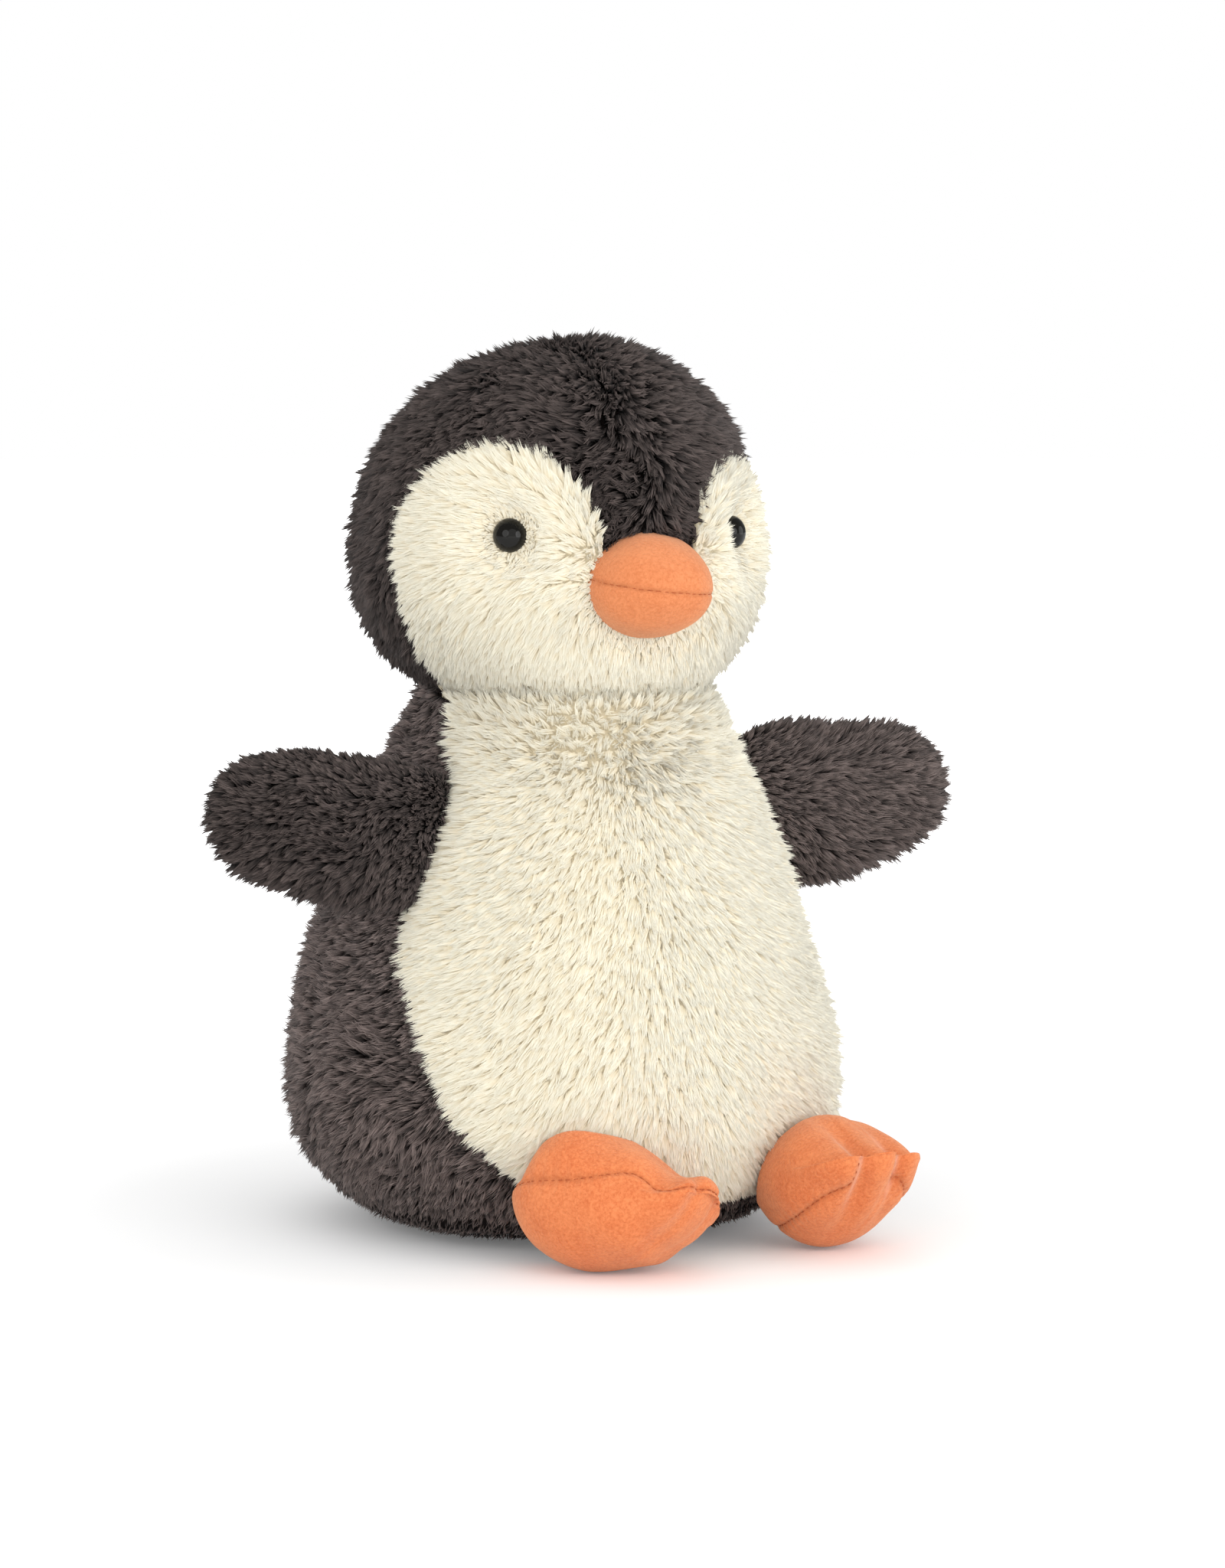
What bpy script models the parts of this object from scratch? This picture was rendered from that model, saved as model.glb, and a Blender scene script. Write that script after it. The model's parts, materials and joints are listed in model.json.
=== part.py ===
"""Plush penguin, seated: sewn plush panels over stuffing, with a suede beak and feet.

Metres, +Z up. The toy faces -Y and its left side is +X. The origin is the middle of its base, on the floor.
"""

import math

import bmesh
import bpy
from mathutils import Matrix, Vector
from mathutils.geometry import interpolate_bezier

# Cloth, stitches and room between sewn pieces
PLUSH = 0.007
WING_PLUSH = 0.0045
SUEDE = 0.0018
SEAM_GAP = 0.0003

# Body, turned about Z
NECK_HEIGHT = 0.139
NECK_RADIUS = 0.037
SHOULDER_OUT = 0.014
SHOULDER_DROP = 0.029
BODY_RADIUS = 0.0708
BODY_WIDEST_HEIGHT = 0.036
FLANK_RISE = 0.039
HIP_DROP = 0.014
HIP_SPREAD = 0.018
BASE_RADIUS = 0.042
BASE_SEAM_HEIGHT = 0.0105

# Cream belly, as seen from the front
BELLY_NECK_HALF_WIDTH = 0.0345
BELLY_HALF_WIDTH = 0.0605
BELLY_WIDEST_HEIGHT = 0.056
BELLY_BOTTOM_HEIGHT = 0.0115
BELLY_BOTTOM_HALF_WIDTH = 0.030

# Bean pouch inside the base
POUCH_RADIUS = 0.040
POUCH_HEIGHT = 0.024

# Head, turned about Z
HEAD_RADIUS = 0.0535
HEAD_ABOVE_NECK = 0.033
HEAD_MIDDLE_HEIGHT = NECK_HEIGHT + HEAD_ABOVE_NECK
HEAD_CROWN = 0.0565
HEAD_LEAN = 0.008

# Cream face lobe round each eye, seen square on from its own side
FACE_ANGLE = math.radians(48)
FACE_LOBE_RADIUS = 0.0305
FACE_LOBE_DROP = 0.002
FACE_CHEEK_HALF_WIDTH = 0.024

# Safety eye
EYE_ANGLE = math.radians(42.5)
EYE_ABOVE_MIDDLE = 0.0075
EYE_RADIUS = 0.0043
EYE_DOME = 0.0036
EYE_SUNK = 0.0020
EYE_STEM_RADIUS = 0.0016
WASHER_RADIUS = 0.0062
WASHER_THICKNESS = 0.0014

# Beak
BEAK_BELOW_MIDDLE = 0.0055
BEAK_ROOT = 0.047
BEAK_REACH = 0.0655
BEAK_HALF_WIDTH = 0.0158
BEAK_TOP = 0.0125
BEAK_BOTTOM = 0.0130
BEAK_DROOP = math.radians(4)

# Wing, hinged on the side seam
WING_SEAM_ANGLE = math.radians(69)
WING_ROOT_TOP = NECK_HEIGHT - 0.0150
WING_ROOT_BOTTOM = NECK_HEIGHT - 0.0555
WING_LENGTH = 0.0545
WING_HALF_CHORD = 0.0193
WING_TAPER = 0.16
WING_HALF_THICKNESS = 0.0080
WING_ROOT_ROUND = 0.0026
WING_SWEEP = math.radians(3)
WING_RISE = math.radians(12.5)

# Foot: a suede pillow with three toes
FOOT_HEEL = 0.021
FOOT_TOE = 0.0325
FOOT_HALF_WIDTH = 0.018
FOOT_TOP = 0.0170
FOOT_SOLE = 0.0160
TOE_NOTCH = 0.0045
TOE_NOTCH_OFFSET = 0.0065
TOE_NOTCH_WIDTH = 0.0024
FOOT_HINGE_HEIGHT = 0.027
FOOT_TIP_UP = math.radians(35)
FOOT_TIP_DOWN = math.radians(10)
# How each foot lies: place round the body, reach from the axis, turn to the left, toes up, roll
FEET = {
    "right": (math.radians(-20.9), 0.0723, math.radians(36), math.radians(0), math.radians(24)),
    "left": (math.radians(29.4), 0.0790, math.radians(-3), math.radians(22), math.radians(0)),
}

# Facets
TURN_STEPS = 32
PROFILE_POINTS = 7
LINING_STEPS = 20
LINING_POINTS = 5
PILLOW_SEGMENTS = 20
PILLOW_RINGS = 8
FOOT_SEGMENTS = 32
EYE_STEPS = 12

SIDES = {"right": -1, "left": 1}
ROOM = 0.2
COLOURS = {
    "dark_plush": ((0.060, 0.046, 0.042, 1), 0.95),
    "cream_plush": ((0.86, 0.79, 0.62, 1), 0.95),
    "orange_suede": ((0.88, 0.28, 0.11, 1), 0.85),
    "stuffing": ((0.80, 0.80, 0.78, 1), 1.0),
    "bean_cloth": ((0.55, 0.55, 0.52, 1), 0.9),
    "eye_plastic": ((0.008, 0.008, 0.007, 1), 0.12),
    "washer_plastic": ((0.75, 0.75, 0.72, 1), 0.5),
}


def clear_scene():
    for obj in list(bpy.data.objects):
        bpy.data.objects.remove(obj, do_unlink=True)


def new_collection(name):
    group = bpy.data.collections.new(name)
    bpy.context.scene.collection.children.link(group)
    return group


def new_material(name):
    colour, roughness = COLOURS[name]
    made = bpy.data.materials.new(name)
    made.use_nodes = True
    shader = made.node_tree.nodes["Principled BSDF"]
    shader.inputs["Base Color"].default_value = colour
    shader.inputs["Roughness"].default_value = roughness
    shader.inputs["Metallic"].default_value = 0
    made.diffuse_color = colour
    return made


def add_part(obj, material, pivot=None):
    """Puts a finished piece in the toy's collection, riding on its pivot if it moves."""
    obj.data.materials.append(MATERIALS[material])
    for polygon in obj.data.polygons:
        polygon.use_smooth = True
    TOY.objects.link(obj)
    obj.parent = pivot
    return obj


def add_cutter(obj, pivot=None):
    obj.hide_render = True
    obj.display_type = "WIRE"
    CUTTERS.objects.link(obj)
    obj.parent = pivot
    return obj


def shape(obj, operation, *cutters):
    for cutter in cutters:
        boolean = obj.modifiers.new(operation.title(), "BOOLEAN")
        boolean.operation = operation
        boolean.object = cutter
    return obj


def turned(name, profile, steps=TURN_STEPS):
    """A profile of (radius, height) points, running down its outer side, turned about Z."""
    mesh = bpy.data.meshes.new(name)
    points = [(radius, 0, height) for radius, height in profile]
    mesh.from_pydata(points, [(i, i + 1) for i in range(len(points) - 1)], [])
    obj = bpy.data.objects.new(name, mesh)
    screw = obj.modifiers.new("Turn", "SCREW")
    screw.steps = steps
    screw.render_steps = steps
    screw.use_merge_vertices = True
    screw.merge_threshold = 0.00001
    return obj


def block(name, low, high):
    """A box between two corners, used to cut."""
    low, high = Vector(low), Vector(high)
    bm = bmesh.new()
    bmesh.ops.create_cube(bm, size=1)
    bmesh.ops.scale(bm, vec=high - low, verts=bm.verts)
    bmesh.ops.translate(bm, vec=(low + high) / 2, verts=bm.verts)
    mesh = bpy.data.meshes.new(name)
    bm.to_mesh(mesh)
    bm.free()
    return bpy.data.objects.new(name, mesh)


def outline_prism(name, outline, depth):
    """A flat outline in X and Y, thickened to both sides of Z = 0 by a depth."""
    curve = bpy.data.curves.new(name, "CURVE")
    curve.dimensions = "2D"
    curve.fill_mode = "BOTH"
    curve.extrude = depth
    spline = curve.splines.new("POLY")
    spline.points.add(len(outline) - 1)
    for point, (x, y) in zip(spline.points, outline):
        point.co = (x, y, 0, 1)
    spline.use_cyclic_u = True
    holder = bpy.data.objects.new(name, curve)
    CUTTERS.objects.link(holder)
    graph = bpy.context.evaluated_depsgraph_get()
    mesh = bpy.data.meshes.new_from_object(holder.evaluated_get(graph))
    bpy.data.objects.remove(holder, do_unlink=True)
    bm = bmesh.new()
    bm.from_mesh(mesh)
    bmesh.ops.remove_doubles(bm, verts=bm.verts, dist=0.00001)
    bmesh.ops.recalc_face_normals(bm, faces=bm.faces)
    bm.to_mesh(mesh)
    bm.free()
    return bpy.data.objects.new(name, mesh)


def pillow(name, outline, top, bottom, inset=0, segments=PILLOW_SEGMENTS, crease=None):
    """A stuffed form: a sphere spread to an outline, with its edge seam in the plane Z = 0."""
    bm = bmesh.new()
    bmesh.ops.create_uvsphere(bm, u_segments=segments, v_segments=PILLOW_RINGS, radius=1)
    for vert in bm.verts:
        spread = math.hypot(vert.co.x, vert.co.y)
        edge = outline(math.atan2(vert.co.y, vert.co.x))
        rise = top if vert.co.z > 0 else bottom
        height = (rise - inset) * vert.co.z
        if crease:
            height *= crease(edge * spread)
        flat = (edge - edge.normalized() * inset) * spread
        vert.co = (flat.x, flat.y, height)
    bmesh.ops.triangulate(bm, faces=bm.faces, quad_method="FIXED")
    mesh = bpy.data.meshes.new(name)
    bm.to_mesh(mesh)
    bm.free()
    return bpy.data.objects.new(name, mesh)


def superellipse(turn, half_x, half_y, power):
    """The point of a rounded oblong in a direction given by its angle from +X."""
    x, y = math.cos(turn), math.sin(turn)
    reach = (abs(x / half_x) ** power + abs(y / half_y) ** power) ** (-1 / power)
    return Vector((x, y)) * reach


def placed(obj, matrix):
    obj.data.transform(matrix)
    return obj


def new_pivot(name, matrix):
    pivot = bpy.data.objects.new(name, None)
    pivot.empty_display_size = 0.02
    pivot.matrix_world = matrix
    TOY.objects.link(pivot)
    return pivot


def frame_matrix(origin, x_axis, z_axis):
    """A right-handed frame whose Z is kept and whose X is squared to it."""
    z_axis = z_axis.normalized()
    x_axis = (x_axis - z_axis * x_axis.dot(z_axis)).normalized()
    y_axis = z_axis.cross(x_axis)
    matrix = Matrix((x_axis, y_axis, z_axis)).transposed().to_4x4()
    matrix.translation = origin
    return matrix


def inset_curve(points, inset):
    """Moves a profile that runs down its outer side inwards, square to itself."""
    moved = []
    for index, point in enumerate(points):
        before = points[max(index - 1, 0)]
        after = points[min(index + 1, len(points) - 1)]
        along = (after - before).normalized()
        inward = Vector((along.y, -along.x))
        if point.x == 0:
            inward = Vector((0, -1))
        moved.append(point + inset * inward)
    return moved


def body_curve(points=PROFILE_POINTS):
    neck = Vector((NECK_RADIUS, NECK_HEIGHT))
    shoulder = Vector((NECK_RADIUS + SHOULDER_OUT, NECK_HEIGHT - SHOULDER_DROP))
    flank = Vector((BODY_RADIUS, BODY_WIDEST_HEIGHT + FLANK_RISE))
    widest = Vector((BODY_RADIUS, BODY_WIDEST_HEIGHT))
    hip = Vector((BODY_RADIUS, BODY_WIDEST_HEIGHT - HIP_DROP))
    turn_under = Vector((BASE_RADIUS + HIP_SPREAD, 0))
    base = Vector((BASE_RADIUS, 0))
    upper = interpolate_bezier(neck, shoulder, flank, widest, points)
    lower = interpolate_bezier(widest, hip, turn_under, base, points)
    return [Vector(point[:2]) for point in upper + lower[1:]]


def body_profile(inset, top):
    """The body's turned outline, moved inwards and carried up to a flat top."""
    curve = inset_curve(body_curve(LINING_POINTS if inset > 0 else PROFILE_POINTS), inset)
    curve = [point for point in curve if point.y < top]
    neck = curve[0].x
    if inset == 0:
        neck = NECK_RADIUS
    return [(0, top), (neck, top), *curve, (0, curve[-1].y)]


def body_radius(height):
    curve = body_curve()
    for high, low in zip(curve, curve[1:]):
        if low.y <= height <= high.y:
            return high.x + (low.x - high.x) * (high.y - height) / (high.y - low.y)
    return BASE_RADIUS


def head_curve(count=PROFILE_POINTS):
    """A dome above the widest ring and a rounder jaw below it, down to the neck."""
    jaw_end = math.acos(NECK_RADIUS / HEAD_RADIUS)
    jaw = HEAD_ABOVE_NECK / math.sin(jaw_end)
    points = []
    for step in range(count + 1):
        angle = math.pi / 2 * (1 - step / count)
        radius = HEAD_RADIUS * math.cos(angle) if step else 0
        points.append(Vector((radius, HEAD_MIDDLE_HEIGHT + HEAD_CROWN * math.sin(angle))))
    for step in range(1, count - 1):
        angle = jaw_end * step / (count - 2)
        points.append(
            Vector((HEAD_RADIUS * math.cos(angle), HEAD_MIDDLE_HEIGHT - jaw * math.sin(angle)))
        )
    return points


def head_lean(height):
    """How far forward the head's crown leans at a height."""
    return HEAD_LEAN * (max(0, height - HEAD_MIDDLE_HEIGHT) / HEAD_CROWN) ** 2


def turned_head(name, profile, steps=TURN_STEPS):
    """A turned form whose top leans forward, as the stuffed head's does."""
    round_head = turned(name, profile, steps)
    CUTTERS.objects.link(round_head)
    graph = bpy.context.evaluated_depsgraph_get()
    mesh = bpy.data.meshes.new_from_object(round_head.evaluated_get(graph))
    bpy.data.objects.remove(round_head, do_unlink=True)
    for vert in mesh.vertices:
        vert.co.y -= head_lean(vert.co.z)
    return bpy.data.objects.new(name, mesh)


def head_profile(inset, bottom):
    """The head's turned outline, moved inwards and carried down to a flat bottom."""
    curve = inset_curve(head_curve(LINING_POINTS if inset > 0 else PROFILE_POINTS), inset)
    curve = [point for point in curve if point.y > bottom]
    neck = curve[-1].x
    if inset == 0:
        neck = NECK_RADIUS
    return [*curve, (neck, bottom), (0, bottom)]


def belly_outline(grow):
    """The cream bib from the front, X across and Y up, widened all round by a margin."""
    top = Vector((BELLY_NECK_HALF_WIDTH, NECK_HEIGHT))
    widest = Vector((BELLY_HALF_WIDTH, BELLY_WIDEST_HEIGHT))
    corner = Vector((BELLY_BOTTOM_HALF_WIDTH, BELLY_BOTTOM_HEIGHT))
    rise = (NECK_HEIGHT - BELLY_WIDEST_HEIGHT) / 2
    fall = (BELLY_WIDEST_HEIGHT - BELLY_BOTTOM_HEIGHT) / 2
    spread = BELLY_HALF_WIDTH - BELLY_BOTTOM_HALF_WIDTH
    upper = interpolate_bezier(
        top,
        top + Vector((spread / 3, -rise)),
        widest + Vector((0, rise)),
        widest,
        PROFILE_POINTS,
    )
    lower = interpolate_bezier(
        widest,
        widest - Vector((0, fall)),
        corner + Vector((spread * 2 / 3, 0)),
        corner,
        PROFILE_POINTS,
    )
    side = [Vector(point[:2]) for point in upper + lower[1:]]
    side = inset_curve(side, -grow)
    side.insert(0, Vector((side[0].x, NECK_HEIGHT + ROOM)))
    return [*side, *[Vector((-point.x, point.y)) for point in reversed(side)]]


def face_outline(grow):
    """A cream cheek and eye lobe: X towards the back of the head, Y up from the head's middle."""
    radius = FACE_LOBE_RADIUS + grow
    points = []
    for step in range(PROFILE_POINTS * 2 + 1):
        angle = math.pi * step / (PROFILE_POINTS * 2)
        points.append((radius * math.cos(angle), radius * math.sin(angle) - FACE_LOBE_DROP))
    under_beak = HEAD_RADIUS + grow
    below = -HEAD_MIDDLE_HEIGHT
    points.append((-under_beak, -FACE_LOBE_RADIUS / 3 + grow))
    points.append((-under_beak, below))
    points.append((FACE_CHEEK_HALF_WIDTH + grow, below))
    points.append((FACE_CHEEK_HALF_WIDTH + grow, -HEAD_ABOVE_NECK))
    return points


def half_blocks(prefix, middle):
    """Boxes that keep the left and the right of a plane through the toy, half a seam gap off it."""
    near, far = SEAM_GAP / 2, ROOM
    low, high = middle - far, middle + far
    return {
        "left": add_cutter(block(f"{prefix}_left_half", (near, -far, low), (far, far, high))),
        "right": add_cutter(block(f"{prefix}_right_half", (-far, -far, low), (-near, far, high))),
    }


def make_body():
    top = NECK_HEIGHT - SEAM_GAP / 2
    inner = add_cutter(turned("body_lining", body_profile(PLUSH, NECK_HEIGHT + PLUSH), LINING_STEPS))
    halves = half_blocks("body", NECK_HEIGHT / 2)
    facing = Matrix.Translation((0, -ROOM / 2, 0)) @ Matrix.Rotation(math.pi / 2, 4, "X")
    bibs = {}
    for name, grow in (("belly_cut", 0), ("back_cut", SEAM_GAP)):
        bibs[name] = add_cutter(placed(outline_prism(name, belly_outline(grow), ROOM / 2), facing))
    seam = BASE_SEAM_HEIGHT
    above = add_cutter(block("above_base", (-ROOM, -ROOM, seam + SEAM_GAP / 2), (ROOM, ROOM, ROOM)))
    below = add_cutter(block("below_base", (-ROOM, -ROOM, -ROOM), (ROOM, ROOM, seam - SEAM_GAP / 2)))
    for side in SIDES:
        belly = turned(f"belly_panel_{side}", body_profile(0, top))
        shape(belly, "DIFFERENCE", inner)
        shape(belly, "INTERSECT", bibs["belly_cut"], above, halves[side])
        add_part(belly, "cream_plush")
        back = turned(f"back_panel_{side}", body_profile(0, top))
        shape(back, "DIFFERENCE", inner, bibs["back_cut"])
        shape(back, "INTERSECT", above, halves[side])
        add_part(back, "dark_plush")
    base = turned("base_panel", body_profile(0, top))
    shape(base, "DIFFERENCE", inner)
    shape(base, "INTERSECT", below)
    add_part(base, "dark_plush")
    floor = PLUSH + SEAM_GAP
    pouch = turned("bean_pouch", pouch_profile(0, floor), LINING_STEPS)
    add_part(pouch, "bean_cloth")
    pocket = add_cutter(turned("pouch_pocket", pouch_profile(SEAM_GAP, 0), LINING_STEPS))
    stuffing = turned("body_stuffing", body_profile(floor, top), LINING_STEPS)
    shape(stuffing, "DIFFERENCE", pocket)
    add_part(stuffing, "stuffing")


def pouch_profile(grow, bottom):
    """A slack round bag lying on the base: a low dome over a rounded edge."""
    points = []
    for step in range(PROFILE_POINTS):
        angle = math.pi / 2 * (1 - step / (PROFILE_POINTS - 1))
        radius = (POUCH_RADIUS + grow) * math.cos(angle) if step else 0
        rise = (POUCH_HEIGHT + grow) * math.sin(angle) ** 0.8 if step < PROFILE_POINTS - 1 else 0
        points.append((radius, PLUSH + SEAM_GAP + rise))
    if bottom < PLUSH:
        points.append((POUCH_RADIUS + grow, bottom))
    points.append((0, min(bottom, PLUSH + SEAM_GAP)))
    return points


def eye_frames():
    """For each side, a frame on the head's surface at the eye, with Z pointing out."""
    rise = EYE_ABOVE_MIDDLE / HEAD_CROWN
    radius = HEAD_RADIUS * math.sqrt(1 - rise**2)
    frames = {}
    for side, sign in SIDES.items():
        across = sign * math.sin(EYE_ANGLE)
        ahead = -math.cos(EYE_ANGLE)
        place = Vector((across * radius, ahead * radius, HEAD_MIDDLE_HEIGHT + EYE_ABOVE_MIDDLE))
        place.y -= head_lean(place.z)
        slope = rise / HEAD_CROWN / (radius / HEAD_RADIUS**2)
        frames[side] = frame_matrix(place, Vector((0, 0, 1)), Vector((across, ahead, slope)))
    return frames


def eye_profile():
    points = []
    for step in range(PROFILE_POINTS - 1):
        angle = math.pi / 2 * (1 - step / (PROFILE_POINTS - 2))
        radius = EYE_RADIUS * math.cos(angle) if step else 0
        points.append((radius, EYE_DOME * math.sin(angle) - EYE_SUNK))
    stem_end = -PLUSH - 2 * SEAM_GAP - 2 * WASHER_THICKNESS
    points.append((EYE_RADIUS, -EYE_SUNK - EYE_DOME / 4))
    points.append((EYE_STEM_RADIUS, -EYE_SUNK - EYE_DOME / 4))
    points.append((EYE_STEM_RADIUS, stem_end))
    points.append((0, stem_end))
    return points


def eye_socket_profile():
    """The hole that an eye, its stem and its washer need through the face and into the stuffing."""
    room = EYE_RADIUS + SEAM_GAP
    seat = -EYE_SUNK - EYE_DOME / 4 - SEAM_GAP
    inside = -PLUSH + SEAM_GAP
    stem = EYE_STEM_RADIUS + SEAM_GAP
    washer = WASHER_RADIUS + SEAM_GAP
    end = -PLUSH - 3 * SEAM_GAP - 2 * WASHER_THICKNESS
    return [
        (0, PLUSH),
        (room, PLUSH),
        (room, seat),
        (stem, seat),
        (stem, inside),
        (washer, inside),
        (washer, end),
        (0, end),
    ]


def washer_profile():
    top = -PLUSH
    bottom = top - WASHER_THICKNESS
    inner = EYE_STEM_RADIUS + SEAM_GAP
    return [(inner, top), (WASHER_RADIUS, top), (WASHER_RADIUS, bottom), (inner, bottom), (inner, top)]


def make_head():
    bottom = NECK_HEIGHT + SEAM_GAP / 2
    pivot = new_pivot("head_pivot", Matrix.Translation((0, 0, NECK_HEIGHT)))
    to_pivot = pivot.matrix_world.inverted()
    inner = add_cutter(turned_head("head_lining", head_profile(PLUSH, NECK_HEIGHT - PLUSH), LINING_STEPS))
    halves = half_blocks("head", HEAD_MIDDLE_HEIGHT)
    beak_room = add_cutter(beak_form("beak_room", -SEAM_GAP))
    sockets = []
    for side, frame in eye_frames().items():
        socket = turned(f"eye_socket_{side}", eye_socket_profile(), EYE_STEPS)
        socket.matrix_world = frame
        sockets.append(add_cutter(socket))
    for side, sign in SIDES.items():
        lobes = {}
        across = Vector((sign * math.cos(FACE_ANGLE), math.sin(FACE_ANGLE), 0))
        outward = Vector((sign * math.sin(FACE_ANGLE), -math.cos(FACE_ANGLE), 0))
        view = Matrix((across, Vector((0, 0, 1)), outward)).transposed().to_4x4()
        view.translation = outward * (ROOM / 2 + HEAD_RADIUS / 5)
        view.translation.z = HEAD_MIDDLE_HEIGHT
        for name, grow in (("face_cut", 0), ("crown_cut", SEAM_GAP)):
            lobe = placed(outline_prism(f"{name}_{side}", face_outline(grow), ROOM / 2), view)
            if sign < 0:
                lobe.data.flip_normals()
            lobes[name] = add_cutter(lobe)
        face = turned_head(f"face_panel_{side}", head_profile(0, bottom))
        shape(face, "DIFFERENCE", inner, beak_room)
        shape(face, "INTERSECT", lobes["face_cut"], halves[side])
        shape(face, "DIFFERENCE", *sockets)
        ride(add_part(face, "cream_plush"), pivot, to_pivot)
        crown = turned_head(f"crown_panel_{side}", head_profile(0, bottom))
        shape(crown, "DIFFERENCE", inner, lobes["crown_cut"], beak_room)
        shape(crown, "INTERSECT", halves[side])
        ride(add_part(crown, "dark_plush"), pivot, to_pivot)
    stuffing = turned_head("head_stuffing", head_profile(PLUSH + SEAM_GAP, bottom), LINING_STEPS)
    shape(stuffing, "DIFFERENCE", beak_room, *sockets)
    ride(add_part(stuffing, "stuffing"), pivot, to_pivot)
    make_eyes(pivot, to_pivot)
    make_beak(pivot, to_pivot)


def ride(obj, pivot, to_pivot):
    """Parents a piece that is modelled in place to a pivot without moving it."""
    obj.parent = pivot
    obj.matrix_parent_inverse = to_pivot


def make_eyes(pivot, to_pivot):
    for side, frame in eye_frames().items():
        eye = turned(f"eye_{side}", eye_profile(), EYE_STEPS)
        eye.matrix_basis = frame
        ride(add_part(eye, "eye_plastic"), pivot, to_pivot)
        washer = turned(f"eye_washer_{side}", washer_profile(), EYE_STEPS)
        washer.matrix_basis = frame
        ride(add_part(washer, "washer_plastic"), pivot, to_pivot)


def beak_outline(turn):
    """The beak's edge in its seam plane, from a broad flat root to a round tip, with its corners at +-X."""
    ahead = BEAK_REACH - BEAK_ROOT
    if math.sin(turn) < 0:
        return superellipse(turn, BEAK_HALF_WIDTH, ahead, 2.2)
    return superellipse(turn, BEAK_HALF_WIDTH, BEAK_HALF_WIDTH / 2, 3)


def beak_frame():
    """The middle of the beak's root, drooping a little towards the tip."""
    root = Vector((0, -BEAK_ROOT, HEAD_MIDDLE_HEIGHT - BEAK_BELOW_MIDDLE))
    return Matrix.Translation(root) @ Matrix.Rotation(BEAK_DROOP, 4, "X")


def beak_form(name, inset):
    form = pillow(name, beak_outline, BEAK_TOP, BEAK_BOTTOM, inset)
    return placed(form, beak_frame())


def make_beak(pivot, to_pivot):
    frame = beak_frame()
    inner = add_cutter(beak_form("beak_lining", SUEDE))
    near, far = SEAM_GAP / 2, ROOM
    upper = add_cutter(placed(block("beak_upper_half", (-far, -far, near), (far, far, far)), frame))
    lower = add_cutter(placed(block("beak_lower_half", (-far, -far, -far), (far, far, -near)), frame))
    for name, half in (("beak_upper", upper), ("beak_lower", lower)):
        panel = beak_form(name, 0)
        shape(panel, "DIFFERENCE", inner)
        shape(panel, "INTERSECT", half)
        ride(add_part(panel, "orange_suede"), pivot, to_pivot)
    ride(add_part(beak_form("beak_stuffing", SUEDE + SEAM_GAP), "stuffing"), pivot, to_pivot)


def wing_frame(sign):
    """The hinge of a wing: Z up its sewn root, X out along the wing."""
    out = Vector((sign * math.sin(WING_SEAM_ANGLE), -math.cos(WING_SEAM_ANGLE), 0))
    ends = []
    for height in (WING_ROOT_BOTTOM, WING_ROOT_TOP):
        ends.append(out * body_radius(height) + Vector((0, 0, height)))
    low, high = ends
    bulge = 0
    for step in range(1, PROFILE_POINTS):
        height = low.z + (high.z - low.z) * step / PROFILE_POINTS
        straight = low.lerp(high, step / PROFILE_POINTS).to_2d().length
        bulge = max(bulge, body_radius(height) - straight)
    middle = (low + high) / 2 + out * (bulge + WING_ROOT_ROUND + SEAM_GAP)
    along = Vector((sign * math.cos(WING_SWEEP), math.sin(WING_SWEEP), 0))
    return frame_matrix(middle, along, high - low)


def wing_form(name, sign, inset):
    """A paddle in the hinge frame: straight root, round tip, flat sides facing the front and the back."""
    frame = wing_frame(sign).to_3x3()
    level = math.cos(WING_RISE)
    aim = Vector((sign * math.cos(WING_SWEEP) * level, math.sin(WING_SWEEP) * level, 0))
    aim.z = math.sin(WING_RISE)
    skew = aim.dot(frame.col[2]) / aim.dot(frame.col[0])
    half_length = WING_LENGTH / 2
    middle = half_length - WING_ROOT_ROUND

    def outline(turn):
        power = 2.4 if math.cos(turn) > 0 else 4.5
        return superellipse(turn, half_length, WING_HALF_CHORD, power)

    form = pillow(name, outline, WING_HALF_THICKNESS, WING_HALF_THICKNESS, inset)
    for vert in form.data.vertices:
        x, y, z = vert.co
        x += middle
        y *= 1 - WING_TAPER * x / WING_LENGTH
        vert.co = (x, -z, y + x * skew)
    return form


def make_wing(side, sign):
    pivot = new_pivot(f"wing_{side}_pivot", wing_frame(sign))
    inner = add_cutter(wing_form(f"wing_{side}_lining", sign, WING_PLUSH), pivot)
    near, far = SEAM_GAP / 2, ROOM
    ahead = add_cutter(block(f"wing_{side}_ahead", (-far, -far, -far), (far, -near, far)), pivot)
    behind = add_cutter(block(f"wing_{side}_behind", (-far, near, -far), (far, far, far)), pivot)
    halves = (ahead, behind) if sign > 0 else (behind, ahead)
    for name, half in zip(("front", "back"), halves):
        panel = wing_form(f"wing_{side}_{name}", sign, 0)
        shape(panel, "DIFFERENCE", inner)
        shape(panel, "INTERSECT", half)
        add_part(panel, "dark_plush", pivot)
    add_part(wing_form(f"wing_{side}_stuffing", sign, WING_PLUSH + SEAM_GAP), "stuffing", pivot)


def foot_outline(turn):
    """The foot's edge seam: round heel at +Y, three toes at -Y, with more points round the toes."""
    ahead = turn + math.pi / 2
    ahead = math.atan2(math.sin(ahead), math.cos(ahead))
    ahead -= 0.5 * math.sin(ahead)
    turn = ahead - math.pi / 2
    if math.sin(turn) > 0:
        return superellipse(turn, FOOT_HALF_WIDTH, FOOT_HEEL, 2.2)
    edge = superellipse(turn, FOOT_HALF_WIDTH, FOOT_TOE, 2.6)
    return edge - edge.normalized() * TOE_NOTCH * toe_gap(edge.x) * max(0, -edge.y / FOOT_TOE)


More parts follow.
